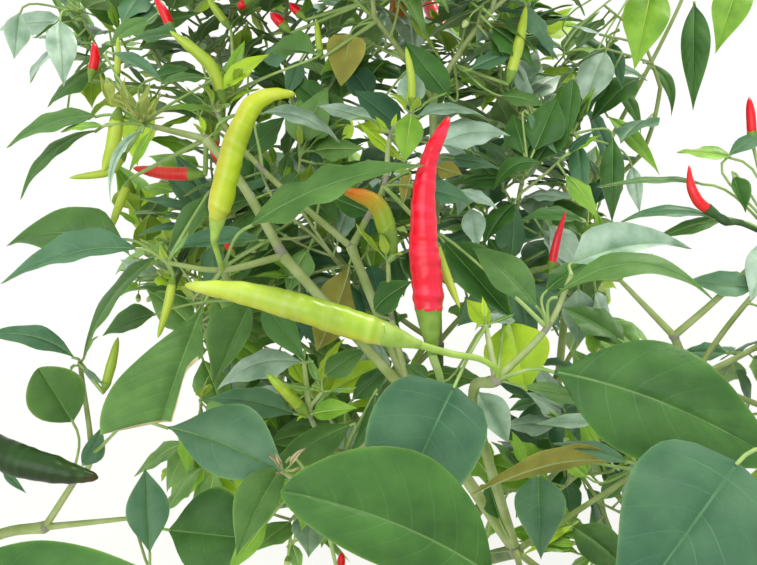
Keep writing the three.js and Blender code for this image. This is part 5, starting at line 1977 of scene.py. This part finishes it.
look_draws = seeded(SEED + 2)
crown_leaves = [Skin()]
for mass, (fork, _, _) in zip(masses.values(), GROWN.values()):
    sprays = {}
    hidden = left_out(mass)
    for item in mass.grown:
        lie = Lie(look_draws)
        draw = look_draws()
        if id(item) in hidden:
            continue
        if isinstance(item, Twig):
            start = PLACES[fork] if item is mass.grown[0] else item.root
            way = square(item.out, draw * math.tau)
            line = smooth_line(bowed(start, item.end, way, TWIG_BOW), 4)
            count = len(line)
            radii = [item.radius * between(ROOT_SWELL, 1, i / count) for i in range(count)]
            loft(twigs, line, radii, GROWN_SIDES, "stem")
            sprays[id(item.shape)] = spray_kind(item, draw)
        elif isinstance(item, Leaf):
            grown_leaf(item, sprays.get(id(item.spray), "mid"), draw, lie)
        elif isinstance(item, Bud):
            bud(cups, petals, item.root, item.out, item.size)
        elif not is_in_picture(item.middle):
            colour = next(colour for limit, colour in GROWN_COLOURS if draw < limit)
            line = [item.calyx, item.middle, item.end]
            small_pod(item.root, line, POD_RADIUS * GROWN_SLIM, colour)

# The leaves and pods that show farther back, on the twigs nearest to them. A pod's twig is
# looked for FAR_STALK mm beyond its calyx.
FAR_STALK = 8
TWIG_ROOTS = (0.35, 0.95)
rooting = [PLACES[place] for mass in SHOWN.values() for route in mass["twigs"] for place in route]
for mass in masses.values():
    for item in mass.grown:
        if isinstance(item, Twig):
            rooting += [item.root.lerp(item.end, share) for share in TWIG_ROOTS]


def nearest_twig(p):
    return min(rooting, key=lambda root: (root - p).length)


for foot, *values in FAR_LEAVES:
    shown_leaf(nearest_twig(seen(*foot)), foot, *values)
for *spots, radius, colour in FAR_PODS:
    line = line_seen(spots)
    away = line[0] + (line[0] - line[1]).normalized() * FAR_STALK
    small_pod(nearest_twig(away), line, radius, colour)

# The young leaves at the ends of shoots: how freely they lie, how far they arch, how many are
# lime, the share of their size at which the blade starts and ends, and half of its width.
TUFT_EASE = 1.4
TUFT_ARCH = (-0.08, 0.22)
TUFT_LIME = 0.4
TUFT_FOOT = 0.3
TUFT_END = 1.3
TUFT_HALF = 0.15
for place_name, count, sizes in YOUNG_SHOOTS:
    spin = shown_draws() * math.tau
    root = PLACES[place_name]
    for i in range(count):
        size = between(*sizes, shown_draws())
        out = square(UP, spin + i * GOLDEN_TURN) * (0.5 + shown_draws())
        out = (out + UP * (0.3 + shown_draws())).normalized()
        foot = root + out * size * TUFT_FOOT
        lie = Lie(shown_draws, TUFT_EASE)
        lie.arch = between(*TUFT_ARCH, shown_draws())
        stalk(near_leaves, root, foot, out, 0.4, 5, "stalk")
        is_flat = abs(out.z) < 0.95
        face = squared(UP, turned(out, square(out, i), 0.01)) if is_flat else square(out, i)
        kind = SHOOT_KINDS.get(place_name) or ("lime" if shown_draws() < TUFT_LIME else "soft")
        halves = [size * TUFT_HALF] * 2
        blade(near_leaves, foot, root + out * size * TUFT_END, face, halves, kind, CROWN_YOUNG, lie)

foliage = list(SHOWN) + list(GROWN)
make_piece("leaves_near", near_leaves, list(SHOWN))
for i, skin in enumerate(crown_leaves):
    make_piece(f"leaves_crown_{i + 1}", skin, list(GROWN))
make_piece("twigs", twigs, foliage)
for colour, skin in small_pods.items():
    make_piece("pods_" + colour, skin, foliage)
make_piece("calyces", cups, foliage)
make_piece("buds", petals, foliage)

# The floor, which reaches FLOOR m to each side, the lights and the camera.
FLOOR = 12
floor_mesh = bpy.data.meshes.new("floor")
floor_corners = [(x * FLOOR, y * FLOOR, 0) for x, y in ((-1, -1), (1, -1), (1, 1), (-1, 1))]
floor_mesh.from_pydata(floor_corners, [], [(0, 1, 2, 3)])
floor = add_object("floor", floor_mesh)
ground = bpy.data.materials.new("floor")
ground.use_nodes = True
ground_shader = ground.node_tree.nodes["Principled BSDF"].inputs
ground_shader["Base Color"].default_value = (0.6, 0.59, 0.57, 1)
ground_shader["Roughness"].default_value = 0.9
floor_mesh.materials.append(ground)


def sun(name, direction, power, softness, tint):
    """A distant light that shines along a direction."""
    data = bpy.data.lights.new(name, "SUN")
    data.energy = power
    data.angle = math.radians(softness)
    data.color = tint
    made = add_object(name, data)
    made.rotation_euler = Vector(direction).to_track_quat("-Z", "Y").to_euler()


sun("key", (-0.45, -0.5, -1), 2.3, 16, (1, 0.97, 0.9))
sun("fill", (0.4, 0.9, -0.7), 1.35, 50, (0.96, 0.98, 1))
world = bpy.data.worlds.new("world")
bpy.context.scene.world = world
world.use_nodes = True
sky = world.node_tree.nodes["Background"].inputs
sky["Color"].default_value = (0.93, 0.97, 1, 1)
sky["Strength"].default_value = 0.95
bpy.context.scene.view_settings.view_transform = "Standard"

camera_data = bpy.data.cameras.new("camera")
camera_data.sensor_width = SENSOR
camera_data.lens = SENSOR * LENS_FOCAL / PICTURE[0]
camera_data.clip_start = 0.01
camera = add_object("camera", camera_data)
camera.location = LENS_AT * METRES
camera.rotation_euler = (math.pi / 2 - LENS_PITCH, 0, 0)
bpy.context.scene.camera = camera
